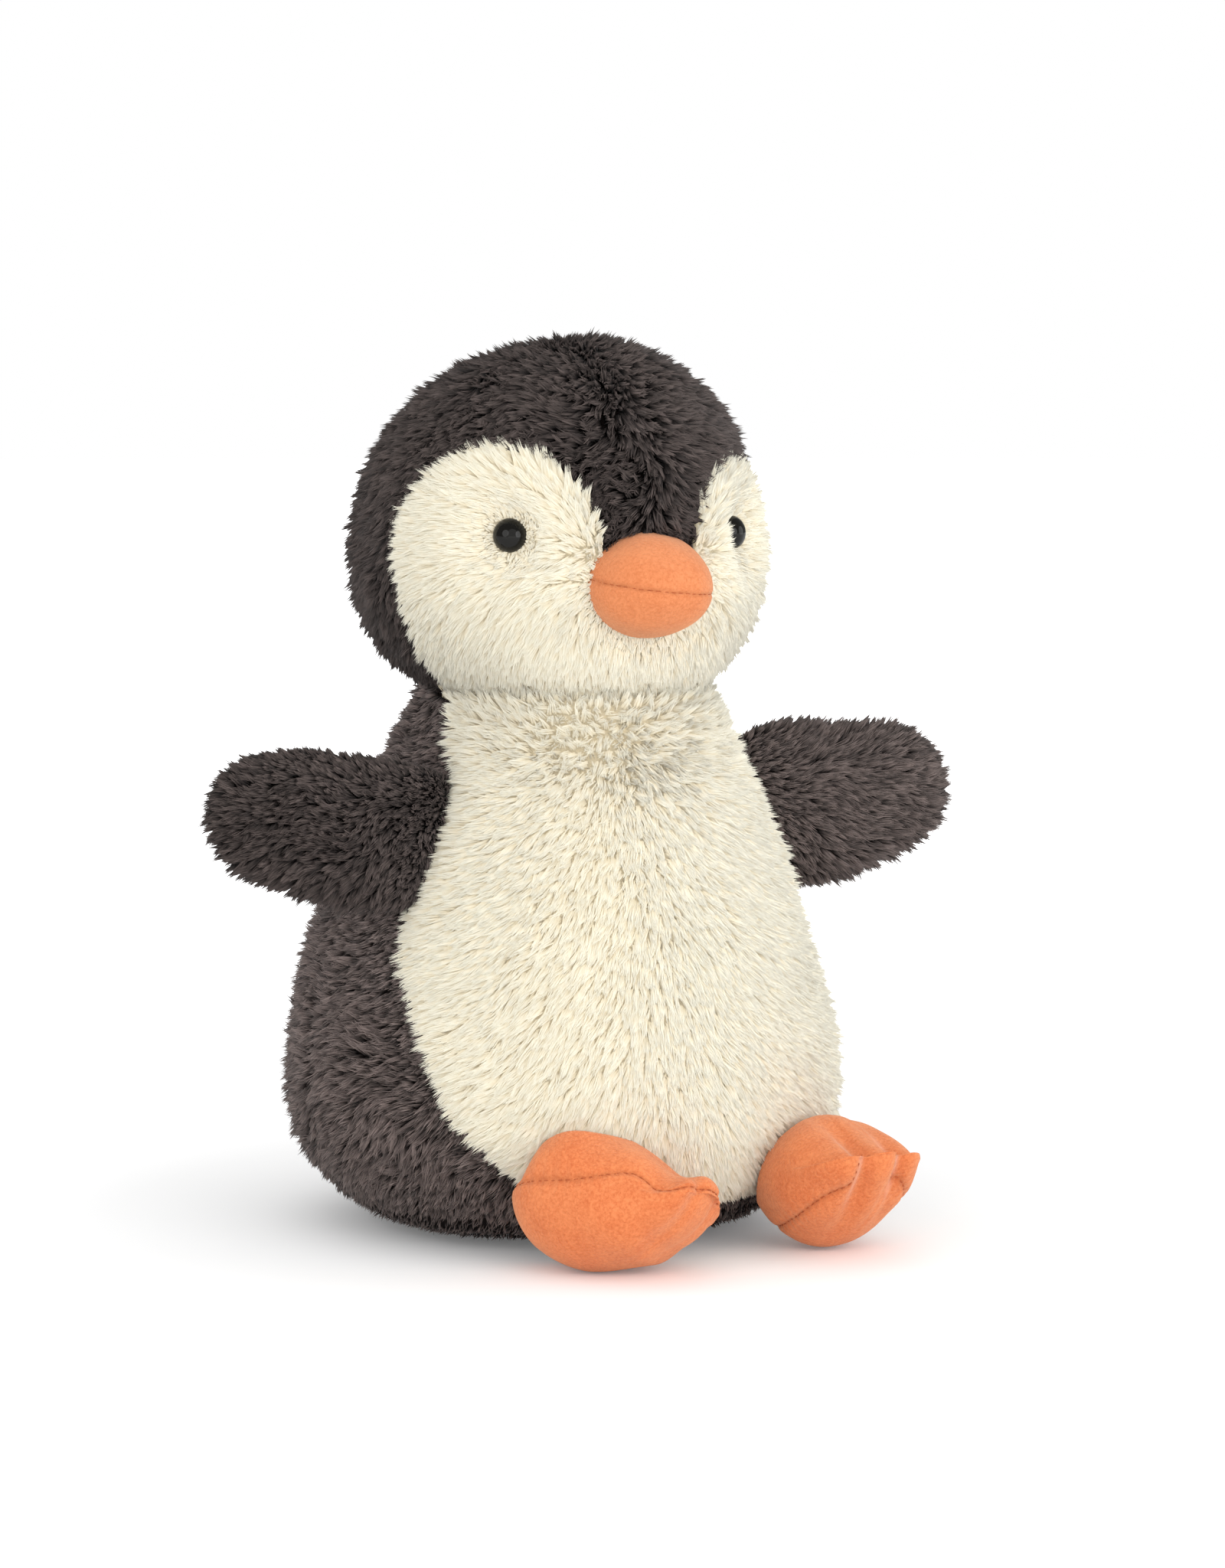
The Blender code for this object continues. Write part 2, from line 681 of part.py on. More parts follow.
def toe_gap(across):
    """1 between two toes, falling to 0 on the toes themselves."""
    off = (abs(across) - TOE_NOTCH_OFFSET) / TOE_NOTCH_WIDTH
    return math.exp(-(off**2))


def foot_crease(flat):
    """How thick the foot is at a place: thinner towards the toes, and drawn in between them."""
    ahead = max(0, -flat.y / FOOT_TOE)
    return (1 - 0.25 * ahead) * (1 - 0.45 * toe_gap(flat.x) * ahead**1.5)


def foot_form(name, inset, frame):
    form = pillow(name, foot_outline, FOOT_TOP, FOOT_SOLE, inset, FOOT_SEGMENTS, foot_crease)
    return placed(form, frame)


def foot_rest(side):
    """Where a foot lies: turned, tipped and rolled, with its lowest point on the floor."""
    place, reach, turn, pitch, roll = FEET[side]
    lean = Matrix.Rotation(turn, 4, "Z") @ Matrix.Rotation(-pitch, 4, "X") @ Matrix.Rotation(roll, 4, "Y")
    trial = foot_form("foot_trial", 0, lean)
    lowest = min(vert.co.z for vert in trial.data.vertices)
    bpy.data.objects.remove(trial)
    return Matrix.Translation((reach * math.sin(place), -reach * math.cos(place), -lowest)) @ lean


def foot_hinge(side):
    """The sewn line at the top rear of a foot: X along it, level with the floor."""
    place = FEET[side][0]
    out = Vector((math.sin(place), -math.cos(place), 0))
    origin = out * (body_radius(FOOT_HINGE_HEIGHT) + SEAM_GAP) + Vector((0, 0, FOOT_HINGE_HEIGHT))
    return frame_matrix(origin, Vector((math.cos(place), math.sin(place), 0)), Vector((0, 0, 1)))


def make_foot(side):
    hinge = foot_hinge(side)
    pivot = new_pivot(f"foot_{side}_pivot", hinge)
    rest = hinge.inverted() @ foot_rest(side)
    room = []
    for name, tip in (("level", 0), ("up", FOOT_TIP_UP), ("down", -FOOT_TIP_DOWN)):
        belly = turned(f"foot_{side}_room_{name}", body_profile(-SEAM_GAP, NECK_HEIGHT))
        belly.matrix_world = hinge @ Matrix.Rotation(tip, 4, "X") @ hinge.inverted()
        room.append(add_cutter(belly))
    inner = add_cutter(foot_form(f"foot_{side}_lining", SUEDE, rest), pivot)
    near, far = SEAM_GAP / 2, ROOM
    above = block(f"foot_{side}_above", (-far, -far, near), (far, far, far))
    below = block(f"foot_{side}_below", (-far, -far, -far), (far, far, -near))
    for half in (above, below):
        add_cutter(placed(half, rest), pivot)
    for name, half in (("top", above), ("sole", below)):
        panel = foot_form(f"foot_{side}_{name}", 0, rest)
        shape(panel, "DIFFERENCE", inner)
        shape(panel, "INTERSECT", half)
        shape(panel, "DIFFERENCE", *room)
        add_part(panel, "orange_suede", pivot)
    stuffing = foot_form(f"foot_{side}_stuffing", SUEDE + SEAM_GAP, rest)
    shape(stuffing, "DIFFERENCE", *room)
    add_part(stuffing, "stuffing", pivot)


clear_scene()
TOY = new_collection("plush_penguin")
CUTTERS = new_collection("cutters")
CUTTERS.hide_render = True
MATERIALS = {name: new_material(name) for name in COLOURS}
make_body()
make_head()
for wing_side, wing_sign in SIDES.items():
    make_wing(wing_side, wing_sign)
for foot_side in FEET:
    make_foot(foot_side)
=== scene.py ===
"""Finish of a seated plush penguin: long pile, suede beak and feet, seams, eyes and a plain stage.

Metres, +Z up. The toy faces -Y and its left side is +X. The joints come from the CAD frame, and the
sizes of the plain forms are those of its solids.
"""

import json
import math

import bmesh
import bpy
import numpy as np
from bpy.props import BoolProperty, FloatProperty, FloatVectorProperty, IntProperty, PointerProperty
from mathutils import Matrix, Vector
from mathutils.geometry import interpolate_bezier


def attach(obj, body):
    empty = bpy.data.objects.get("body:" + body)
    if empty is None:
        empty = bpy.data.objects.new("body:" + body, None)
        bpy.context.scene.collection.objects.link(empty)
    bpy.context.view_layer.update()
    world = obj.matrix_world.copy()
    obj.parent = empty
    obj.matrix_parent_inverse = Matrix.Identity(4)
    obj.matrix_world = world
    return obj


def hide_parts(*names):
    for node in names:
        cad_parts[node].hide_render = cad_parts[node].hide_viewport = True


bl_info = {
    "name": "Plush Penguin Finish",
    "version": (1, 0, 0),
    "blender": (4, 5, 0),
    "location": "3D View > Sidebar > Plush Penguin",
    "description": "Dresses the sewn penguin with pile, suede, stitches and eyes",
    "category": "Object",
}

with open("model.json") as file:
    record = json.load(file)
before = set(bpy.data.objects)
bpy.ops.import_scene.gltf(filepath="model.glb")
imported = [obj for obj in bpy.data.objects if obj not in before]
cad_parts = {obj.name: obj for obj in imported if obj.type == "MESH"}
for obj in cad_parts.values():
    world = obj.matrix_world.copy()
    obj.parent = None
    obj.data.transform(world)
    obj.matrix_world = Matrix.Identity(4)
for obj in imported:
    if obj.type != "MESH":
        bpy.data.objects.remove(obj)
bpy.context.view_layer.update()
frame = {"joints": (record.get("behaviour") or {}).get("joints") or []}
HINGES = {joint["name"]: joint for joint in frame["joints"]}

# Body, turned about Z, as the solids have it
NECK_HEIGHT = 0.139
NECK_RADIUS = 0.037
BODY_RADIUS = 0.0708
BODY_WIDEST = (BODY_RADIUS, 0.036)
BODY_UPPER = ((NECK_RADIUS, NECK_HEIGHT), (0.051, 0.110), (BODY_RADIUS, 0.075), BODY_WIDEST)
BODY_LOWER = (BODY_WIDEST, (BODY_RADIUS, 0.022), (0.060, 0.0), (0.042, 0.0))
BELLY_BOTTOM = 0.0115
BELLY_WIDEST = (0.0605, 0.056)
BELLY_UPPER = ((0.0345, NECK_HEIGHT), (0.0447, 0.0975), (0.0605, 0.0975), BELLY_WIDEST)
BELLY_LOWER = (BELLY_WIDEST, (0.0605, 0.03375), (0.0503, BELLY_BOTTOM), (0.030, BELLY_BOTTOM))
BASE_SEAM_HEIGHT = 0.0105

# Head, turned about Z
HEAD_RADIUS = 0.0535
HEAD_MIDDLE = 0.172
HEAD_CROWN = 0.0565
HEAD_LEAN = 0.008
FACE_ANGLE = math.radians(48)
FACE_LOBE_RADIUS = 0.0305
FACE_CHEEK_HALF_WIDTH = 0.024

# Eyes and beak
EYE_ABOVE_MIDDLE = 0.0075
EYE_RADIUS = 0.0043
EYE_DOME = 0.0036
EYE_SUNK = 0.0020
EYE_LIP = 0.0003
EYE_STEM_RADIUS = 0.0016
EYE_STEM_LENGTH = 0.004
BEAK_ROOT = Vector((0, -0.047, 0.1665))
BEAK_AHEAD = 0.0185
BEAK_HALF_WIDTH = 0.0158
BEAK_TOP = 0.0125
BEAK_BOTTOM = 0.0130
BEAK_DROOP = math.radians(4)

# Wings
WING_LENGTH = 0.0545
WING_HALF_CHORD = 0.0193
WING_TAPER = 0.16
WING_HALF_THICKNESS = 0.0080
WING_ROOT_ROUND = 0.0026
WING_SWEEP = math.radians(3)
WING_RISE = math.radians(12.5)

# Feet
FOOT_HEEL = 0.021
FOOT_TOE = 0.0325
FOOT_HALF_WIDTH = 0.018
FOOT_HALF_LENGTH = 0.027
FOOT_TOP = 0.0170
FOOT_SOLE = 0.0160
TOE_NOTCH_WIDTH = 0.0024
FEET = {
    "right": (math.radians(-20.9), 0.0723, math.radians(36), math.radians(0), math.radians(24)),
    "left": (math.radians(29.4), 0.0790, math.radians(-3), math.radians(22), math.radians(0)),
}

# How the sewn pieces sit in the photograph, where they differ from the plain solids
TOE_GAPS = {"right": (-0.0065, 0.0065), "left": (-0.0038, 0.0069)}
TOE_NOTCHES = {"right": 0.0018, "left": 0.0034}
TOE_FOLD = {"right": 0.06, "left": 0.40}
BEAK_SHIFT = -0.0018
BEAK_RISE = 0.0010
BEAK_SEAM_TILT = 0.13
EYE_ANGLES = {"right": math.radians(43), "left": math.radians(37)}
EYE_INSETS = {"right": 0.0030, "left": 0.0038}
FLAT_CHEEK = 0.0024
FLAT_HIP = 0.0024
FACE_LOBES = {"right": (0.0284, 0.0000, 1.0, 2.0), "left": (0.0305, 0.0020, 1.12, 2.7)}
NECK_FILL = 0.0042
NECK_FILL_HEIGHT = 0.0105
BELLY_WIDER = 0.0065
BELLY_TUCK = 0.0052
BELLY_COLLAR = 0.0022
WING_ROOT_REACH = 0.0060
WING_SHOULDERS = {"right": 0.0, "left": 0.0050}
WING_TOP_TRIM = {"right": 0.45, "left": 0.0}
# Each wing's pile is darkened as painted shade, the nearer right wing more than the far one
WING_SHADE_TONES = {"right": 0.43, "left": 0.70}
EYE_HOLLOW = 0.0038
EYE_HOLLOW_RADIUS = 0.0105

SIDES = {"right": -1, "left": 1}
UP = np.array((0.0, 0.0, 1.0))
DOWN = np.array((0.0, 0.0, -1.0))
BACKWARD = np.array((0.0, 1.0, 0.0))

# Room left at the body, between two forms, over the floor, and bare of pile at the neck
SEAM_GAP = 0.0003
FORM_GAP = 0.0004
FLOOR_GAP = 0.0002
BODY_BARE = 0.0005
HEAD_BARE = 0.0008

# Pile: strands on a square metre
DENSITIES = {
    "belly": 5.5e6,
    "flank": 5.0e6,
    "back": 3.6e6,
    "base": 1.0e6,
    "face": 8.0e6,
    "crown": 4.8e6,
    "wing": 7.6e6,
}

# Pile: how far it holds the cloth below the solids, how it lies, and how dark it is
PILE_DEPTH = 0.0030
CREAM_DEPTH = 0.0019
WING_PILE_DEPTH = 0.0024
PILE_LEAN = 1.2
WING_LEAN = 1.1
CREAM_SWIRL = 0.06
DARK_SWIRL = 0.50
WING_SWIRL = 0.35
WING_WILD = 0.38
# The crown's pile is darkened as painted shade
CROWN_SHADE_TONE = 0.40
FLANK_END = 2.0
SEAM_WIDTH = 0.003
PARTING_WIDTH = 0.005

# Strands and the locks that they gather in
TINT_LEVELS = 64
STRAND_WAIST = 0.42
STRAND_ARCH = 0.42
LOCK_REACHES = (0.82, 1.14)
STRAND_REACHES = (0.78, 1.04)
TIP_STRAY = 0.0008
LOCK_TINT = 0.55
OWN_TINT = 0.45

# Heights between which the pile changes its lie or length
BODY_LOW_BAND = (0.020, 0.055)
BODY_FOOT_BAND = (0.010, 0.026)
BIB_RISE_BAND = (0.106, 0.139)
BODY_NECK_BAND = (0.130, 0.138)
HEAD_NECK_BAND = (0.141, 0.154)
CHEEK_BAND = (0.178, 0.150)
CROWN_FALL_BAND = (0.226, 0.180)
CROWN_TOP_BAND = (0.212, 0.227)

# Depth of the seams and of the cloth's dimples, and the stitches' thread
BIB_SEAM_DEPTH = 0.0011
BACK_SEAM_DEPTH = 0.0008
FACE_SEAM_DEPTH = 0.0010
CROWN_SEAM_DEPTH = 0.0003
CREAM_DIMPLE = 0.0001
BODY_DIMPLE = 0.0004
HEAD_DIMPLE = 0.0005
SEAM_NEAR = 0.035
FOOT_SEWING = {
    "puckers": 42,
    "pucker_width": 0.16,
    "pucker_depth": 0.00014,
    "seam_depth": 0.0006,
    "soft_size": 0.011,
    "soft_depth": 0.00035,
}
BEAK_SEWING = {
    "puckers": 30,
    "pucker_width": 0.14,
    "pucker_depth": 0.0001,
    "seam_depth": 0.0005,
    "soft_size": 0.009,
    "soft_depth": 0.00025,
}
FOOT_THREAD = 0.00017
BEAK_THREAD = 0.00013
STITCH_LIFT = 1.006

# Faces round and along the forms
BODY_TURNS = 144
HEAD_TURNS = 128
EYE_TURNS = 64
WING_FACES = (96, 48)
BEAK_FACES = (128, 64)
FOOT_FACES = (176, 80)

# Stage. A lamp has a name, a place, a width in metres and a power in watts
LAMPS = (
    ("key_lamp", (-1.43, -0.74, 0.62), 1.1, 5.4),
    ("fill_lamp", (0.44, -1.56, 0.44), 1.1, 8.0),
    ("side_lamp", (1.52, -0.62, 0.38), 1.1, 4.5),
    ("front_lamp", (-0.60, -1.60, 0.50), 2.0, 7.4),
    ("top_lamp", (0.1, 0.35, 1.7), 1.4, 0.8),
)
LAMP_AIM = Vector((0, 0, 0.11))
SKY_LIGHT = 0.97
SKY_MIRRORED = 0.25
FLOOR_RADIUS = 12


def length_of(label, about, value):
    return FloatProperty(name=label, description=about, default=value, unit="LENGTH")


def share_of(label, about, value):
    return FloatProperty(name=label, description=about, default=value, subtype="FACTOR")


def colour_of(label, about, value):
    return FloatVectorProperty(name=label, description=about, default=value, subtype="COLOR")


class PenguinDark(bpy.types.PropertyGroup):
    """The dark plush of the crown, back and wings."""

    length: length_of("Pile Length", "Length of a strand", 0.0061)
    wing_length: length_of("Wing Pile Length", "Length of a strand on a wing", 0.0056)
    width: length_of("Strand Radius", "Radius of a strand at its widest", 0.00015)
    spacing: length_of("Lock Spacing", "Least distance between two locks", 0.0009)
    gather: share_of("Gather", "How far a lock's strands meet at its tip", 0.46)
    wild: share_of("Wildness", "How far locks stray from the combed way", 0.56)
    softness: share_of("Softness", "How far shading follows the cloth", 0.35)
    spread: share_of("Spread", "How far strands differ in tone", 1.7)
    # Root is painted shade between the strands; Tip is the pile's own colour, greyed by a painted sheen
    root: colour_of("Root", "Pile at the cloth", (0.010, 0.006, 0.005))
    tip: colour_of("Tip", "Pile at its tips", (0.228, 0.179, 0.164))
    shades: BoolProperty(
        name="Shades Itself", description="Whether strands keep light from one another", default=True
    )
    seed: IntProperty(name="Seed", description="Start of the strands' random places", default=7)


class PenguinCream(bpy.types.PropertyGroup):
    """The cream plush of the face and bib."""

    length: length_of("Pile Length", "Length of a strand", 0.0060)
    width: length_of("Strand Radius", "Radius of a strand at its widest", 0.00019)
    spacing: length_of("Lock Spacing", "Least distance between two locks", 0.0010)
    gather: share_of("Gather", "How far a lock's strands meet at its tip", 0.45)
    wild: share_of("Wildness", "How far locks stray from the combed way", 0.38)
    softness: share_of("Softness", "How far shading follows the cloth", 1.0)
    spread: share_of("Spread", "How far strands differ in tone", 0.10)
    # Root, darker and yellower, is painted shade between the strands, which cast no shadows on one another
    root: colour_of("Root", "Pile at the cloth", (0.742, 0.655, 0.480))
    tip: colour_of("Tip", "Pile at its tips", (0.852, 0.824, 0.70))
    shades: BoolProperty(
        name="Shades Itself", description="Whether strands keep light from one another", default=False
    )
    seed: IntProperty(name="Seed", description="Start of the strands' random places", default=31)


class PenguinSuede(bpy.types.PropertyGroup):
    """The short velour of the beak and feet."""

    colour: colour_of("Suede", "Nap lying one way", (0.80, 0.258, 0.098))
    shade: colour_of("Suede Shade", "Nap lying the other way", (0.62, 0.150, 0.050))
    beak: colour_of("Beak Suede", "Nap of the beak, one way", (0.74, 0.262, 0.108))
    beak_shade: colour_of("Beak Shade", "Nap of the beak, the other way", (0.60, 0.180, 0.066))
    # The thread is darker than the suede as painted shade of the stitch holes it is sewn through
    thread: colour_of("Thread", "Seam thread", (0.50, 0.118, 0.038))
    stitch: length_of("Stitch Length", "From one stitch to the next", 0.0021)


class PenguinStage(bpy.types.PropertyGroup):
    """Camera, lamps and floor."""

    azimuth: FloatProperty(
        name="Azimuth",
        description="Camera's place round the toy",
        default=math.radians(-28),
        unit="ROTATION",
    )
    distance: length_of("Distance", "Camera's distance along the floor", 1.097)
    height: length_of("Height", "Camera's height", 0.215)
    aim_height: length_of("Aim Height", "Height that the camera looks at", 0.113)
    aim_right: length_of("Aim Right", "How far right of the toy it looks", 0.0129)
    lens: FloatProperty(name="Lens", description="Focal length in millimetres", default=97.73)
    floor: colour_of("Floor", "Floor colour", (0.90, 0.90, 0.90))


# Numbers on arrays of points


def smooth(low, high, value):
    """0 up to one value and 1 from another, with an easy curve between."""
    share = np.clip((value - low) / (high - low), 0, 1)
    return share * share * (3 - 2 * share)


def bell(value, width):
    """1 where a value is 0, falling to 0 over about twice a width."""
    return np.exp(-((value / width) ** 2))


def unit(vectors):
    return vectors / np.maximum(np.linalg.norm(vectors, axis=-1, keepdims=True), 1e-12)


def laid(vectors, normals):
    """Vectors pressed flat onto a surface."""
    return vectors - normals * np.sum(vectors * normals, axis=1, keepdims=True)


def ripple(points, size, turn=0.0):
    """Smooth uneven values from about -1 to 1, with bumps of about this size."""
    waves = np.array(
        [
            (1.0, 0.35, -0.62),
            (-0.48, 1.0, 0.41),
            (0.57, -0.66, 1.0),
            (1.31, 0.83, 0.29),
            (-0.22, -1.27, 0.94),
        ]
    )
    phases = np.array([0.3, 1.9, 4.1, 2.6, 5.2]) + turn
    return np.sin(points @ waves.T * (2 * math.pi / (2 * size)) + phases).sum(axis=1) / 2.6


def bezier(handles, count):
    corners = [Vector(point) for point in handles]
    return np.array([tuple(point)[:2] for point in interpolate_bezier(*corners, count)])


def inset_curve(curve, inset):
    """Moves a profile that runs down its outer side inwards, square to itself."""
    along = unit(np.gradient(curve, axis=0))
    return curve + inset * np.stack([along[:, 1], -along[:, 0]], axis=1)


def body_curve(count=33):
    return np.concatenate([bezier(BODY_UPPER, count), bezier(BODY_LOWER, count)[1:]])


def body_radius(height):
    curve = body_curve()
    return np.interp(height, curve[::-1, 1], curve[::-1, 0])


def head_curve(count=40):
    jaw_end = math.acos(NECK_RADIUS / HEAD_RADIUS)
    jaw = (HEAD_MIDDLE - NECK_HEIGHT) / math.sin(jaw_end)
    dome = np.linspace(math.pi / 2, 0, count)
    under = np.linspace(0, jaw_end, count // 2)[1:]
    upper = np.stack([HEAD_RADIUS * np.cos(dome), HEAD_MIDDLE + HEAD_CROWN * np.sin(dome)], axis=1)
    lower = np.stack([HEAD_RADIUS * np.cos(under), HEAD_MIDDLE - jaw * np.sin(under)], axis=1)
    upper[0, 0] = 0
    return np.concatenate([upper, lower])


def superellipse(turn, half_x, half_y, power):
    x, y = np.cos(turn), np.sin(turn)
    reach = (np.abs(x / half_x) ** power + np.abs(y / half_y) ** power) ** (-1 / power)
    return np.stack([x * reach, y * reach], axis=-1)


def belly_half_width(height):
    curve = np.concatenate([bezier(BELLY_UPPER, 33), bezier(BELLY_LOWER, 33)[1:]])
    return np.interp(height, curve[::-1, 1], curve[::-1, 0])


def belly_reach(points):
    """Distance inside the cream bib's seam, below 0 outside it."""
    x, y, z = points.T
    wider = BELLY_WIDER * smooth(0.0, 0.03, x) * smooth(0.085, 0.055, z)
    tucked = BELLY_TUCK * smooth(0.0, 0.03, -x) * (smooth(0.085, 0.02, z) + smooth(0.040, 0.018, z))
    collar = BELLY_COLLAR * smooth(0.0, 0.02, -x) * smooth(0.112, 0.134, z)
    half_width = belly_half_width(z) + wider + collar - tucked
    inside = np.minimum(half_width - np.abs(x), (z - BELLY_BOTTOM) * 1.5)
    return np.where(y < 0, inside, -np.maximum(np.abs(y), 0.004))


def face_reach(points):
    """Distance inside the nearer cream face lobe's seam, below 0 outside it."""
    x, y, z = points.T
    across = np.abs(x) * math.cos(FACE_ANGLE) + y * math.sin(FACE_ANGLE)
    outward = np.abs(x) * math.sin(FACE_ANGLE) - y * math.cos(FACE_ANGLE)
    right, left = FACE_LOBES["right"], FACE_LOBES["left"]
    radius, drop, squash, power = (np.where(x < 0, a, b) for a, b in zip(right, left))
    rise = z - HEAD_MIDDLE + drop
    power = np.where(across < 0, power, 2.0)
    lobe = radius - (np.abs(across) ** power + np.abs(rise * squash) ** power) ** (1 / power)
    narrowing = (FACE_LOBE_RADIUS - FACE_CHEEK_HALF_WIDTH) / (HEAD_MIDDLE - NECK_HEIGHT)
    behind = radius + narrowing * rise - across
    ahead = (across + radius) * 0.35 - rise * 0.94
    cheek = np.where(across < -radius / 2, np.minimum(behind, ahead), behind)
    inside = np.where(rise > 0, lobe, cheek)
    return np.where(outward > HEAD_RADIUS / 5, inside, -np.maximum(np.abs(inside), 0.004))


def head_lean(height):
    """How far forward the head's crown leans at a height."""
    return HEAD_LEAN * (np.maximum(0, height - HEAD_MIDDLE) / HEAD_CROWN) ** 2


def eye_frames():
    """For each side, a frame on the head's surface at the eye, with Z pointing out."""
    rise = EYE_ABOVE_MIDDLE / HEAD_CROWN
    radius = HEAD_RADIUS * math.sqrt(1 - rise**2)
    frames = {}
    for side, sign in SIDES.items():
        across, ahead = sign * math.sin(EYE_ANGLES[side]), -math.cos(EYE_ANGLES[side])
        place = Vector((across * radius, ahead * radius, HEAD_MIDDLE + EYE_ABOVE_MIDDLE))
        place.y -= head_lean(place.z)
        slope = rise / HEAD_CROWN / (radius / HEAD_RADIUS**2)
        out = Vector((across, ahead, slope)).normalized()
        frames[side] = frame_matrix(place - out * EYE_INSETS[side], Vector((0, 0, 1)), out)
    return frames


def frame_matrix(origin, x_axis, z_axis):
    """A right-handed frame whose Z is kept and whose X is squared to it."""
    z_axis = z_axis.normalized()
    x_axis = (x_axis - z_axis * x_axis.dot(z_axis)).normalized()
    matrix = Matrix((x_axis, z_axis.cross(x_axis), z_axis)).transposed().to_4x4()
    matrix.translation = origin
    return matrix


def beak_frame():
    return Matrix.Translation(BEAK_ROOT) @ Matrix.Rotation(BEAK_DROOP, 4, "X")


def wing_frame(sign, side):
    """The wing's hinge: Z up its sewn root, X out along the wing."""
    hinge = HINGES[f"wing_{side}_swing"]
    up = Vector(hinge["axis"])
    if up.z < 0:
        up.negate()
    along = Vector((sign * math.cos(WING_SWEEP), math.sin(WING_SWEEP), 0))
    return frame_matrix(Vector(hinge["pos_m"]), along, up)


# Meshes


def points_of(mesh):
    points = np.zeros(len(mesh.vertices) * 3, np.float32)
    mesh.vertices.foreach_get("co", points)
    return points.reshape(-1, 3).astype(float)


def normals_of(mesh):
    normals = np.zeros(len(mesh.vertices) * 3, np.float32)
    mesh.vertex_normals.foreach_get("vector", normals)
    return normals.reshape(-1, 3).astype(float)


def set_points(mesh, points):
    mesh.vertices.foreach_set("co", np.asarray(points, np.float32).ravel())
    mesh.update()


def set_values(mesh, name, values):
    kind, key = ("FLOAT_VECTOR", "vector") if np.ndim(values) == 2 else ("FLOAT", "value")
    attribute = mesh.attributes.get(name) or mesh.attributes.new(name, kind, "POINT")
    attribute.data.foreach_set(key, np.asarray(values, np.float32).ravel())


def moved(points, matrix):
    array = np.array(matrix)
    return points @ array[:3, :3].T + array[:3, 3]


def placed(name, data):
    obj = bpy.data.objects.new(name, data)
    bpy.context.scene.collection.objects.link(obj)
    return obj


def new_object(name, mesh, material=None):
    obj = placed(name, mesh)
    if material:
        mesh.materials.append(material)
    mesh.polygons.foreach_set("use_smooth", np.ones(len(mesh.polygons), bool))
    return obj


def formed(mesh, points, finish, **values):
    """A form's object, with its points in place and its values on them."""
    set_points(mesh, points)
    for label, value in values.items():
        set_values(mesh, label, value)
    return new_object(mesh.name, mesh, FINISH[finish])


def mesh_from(bm, name):
    mesh = bpy.data.meshes.new(name)
    bmesh.ops.recalc_face_normals(bm, faces=bm.faces)
    bm.to_mesh(mesh)
    bm.free()
    return mesh


def turned_mesh(name, profile, steps):
    """A profile of (radius, height) points turned about Z, whose two ends lie on the axis."""
    profile = np.asarray(profile, float)
    apart = np.linalg.norm(np.diff(profile, axis=0), axis=1) > 0.00002
    radius, height = profile[np.append(True, apart)].T
    turn = np.arange(steps) * (2 * math.pi / steps)
    rings = np.stack(
        [
            np.outer(radius[1:-1], np.cos(turn)),
            np.outer(radius[1:-1], np.sin(turn)),
            np.outer(height[1:-1], np.ones(steps)),
        ],
        axis=2,
    )
    ends = np.array([(0, 0, height[0]), (0, 0, height[-1])])
    points = np.concatenate([ends, rings.reshape(-1, 3)])
    ring = 2 + np.arange(rings.size // 3).reshape(-1, steps)
    after = np.roll(ring, -1, axis=1)
    fans = [(0, *pair) for pair in zip(ring[0], after[0])]
    fans += [(1, *pair) for pair in zip(after[-1], ring[-1])]
    walls = np.stack([ring[:-1], ring[1:], after[1:], after[:-1]], axis=2).reshape(-1, 4)
    bm = bmesh.new()
    verts = [bm.verts.new(point) for point in points]
    for face in fans + walls.tolist():
        bm.faces.new([verts[index] for index in face])
    return mesh_from(bm, name)


def ball_mesh(name, segments, rings):
    fall = np.linspace(0, math.pi, rings + 1)
    mesh = turned_mesh(name, np.column_stack([np.sin(fall), np.cos(fall)]), segments)
    return mesh, points_of(mesh)


def pillow_points(ball, outline, top, bottom, inset=0.0, crease=None):
    """Points of a ball spread to an outline, whose edge lies in the plane Z = 0."""
    spread = np.hypot(ball[:, 0], ball[:, 1])
    edge = outline(turn_of(ball))
    height = (np.where(ball[:, 2] > 0, top, bottom) - inset) * ball[:, 2]
    if crease:
        height = height * crease(edge * spread[:, None])
    flat = (edge - unit(edge) * inset) * spread[:, None]
    return np.column_stack([flat, height])


def turn_of(ball):
    return np.arctan2(ball[:, 1], ball[:, 0])


def seam_ball(seam, count=200):
    """Points round a ball at the heights that a seam has there."""
    turn = np.arange(count) * (2 * math.pi / count)
    height = seam(turn)
    spread = np.sqrt(1 - height**2)
    return np.column_stack([np.cos(turn) * spread, np.sin(turn) * spread, height])


def reach_slope(reach, points, normals):
    """Directions along a surface in which a distance grows fastest."""
    step = 0.0005
    steps = np.eye(3) * step
    slope = np.stack([(reach(points + move) - reach(points - move)) / (2 * step) for move in steps], axis=1)
    return unit(laid(slope, normals))


def part_at_seam(comb, cream, inward, width):
    """Combs dark pile away from a cream panel's seam, and cream pile out over it."""
    band = bell(cream, width)[:, None]
    toward = np.sum(comb * inward, axis=1)[:, None]
    dark = comb - inward * band * (0.85 * np.maximum(0, toward) + 0.25)
    pale = comb - inward * band * 0.9
    return np.where(cream[:, None] > 0, pale, dark)


# Nodes


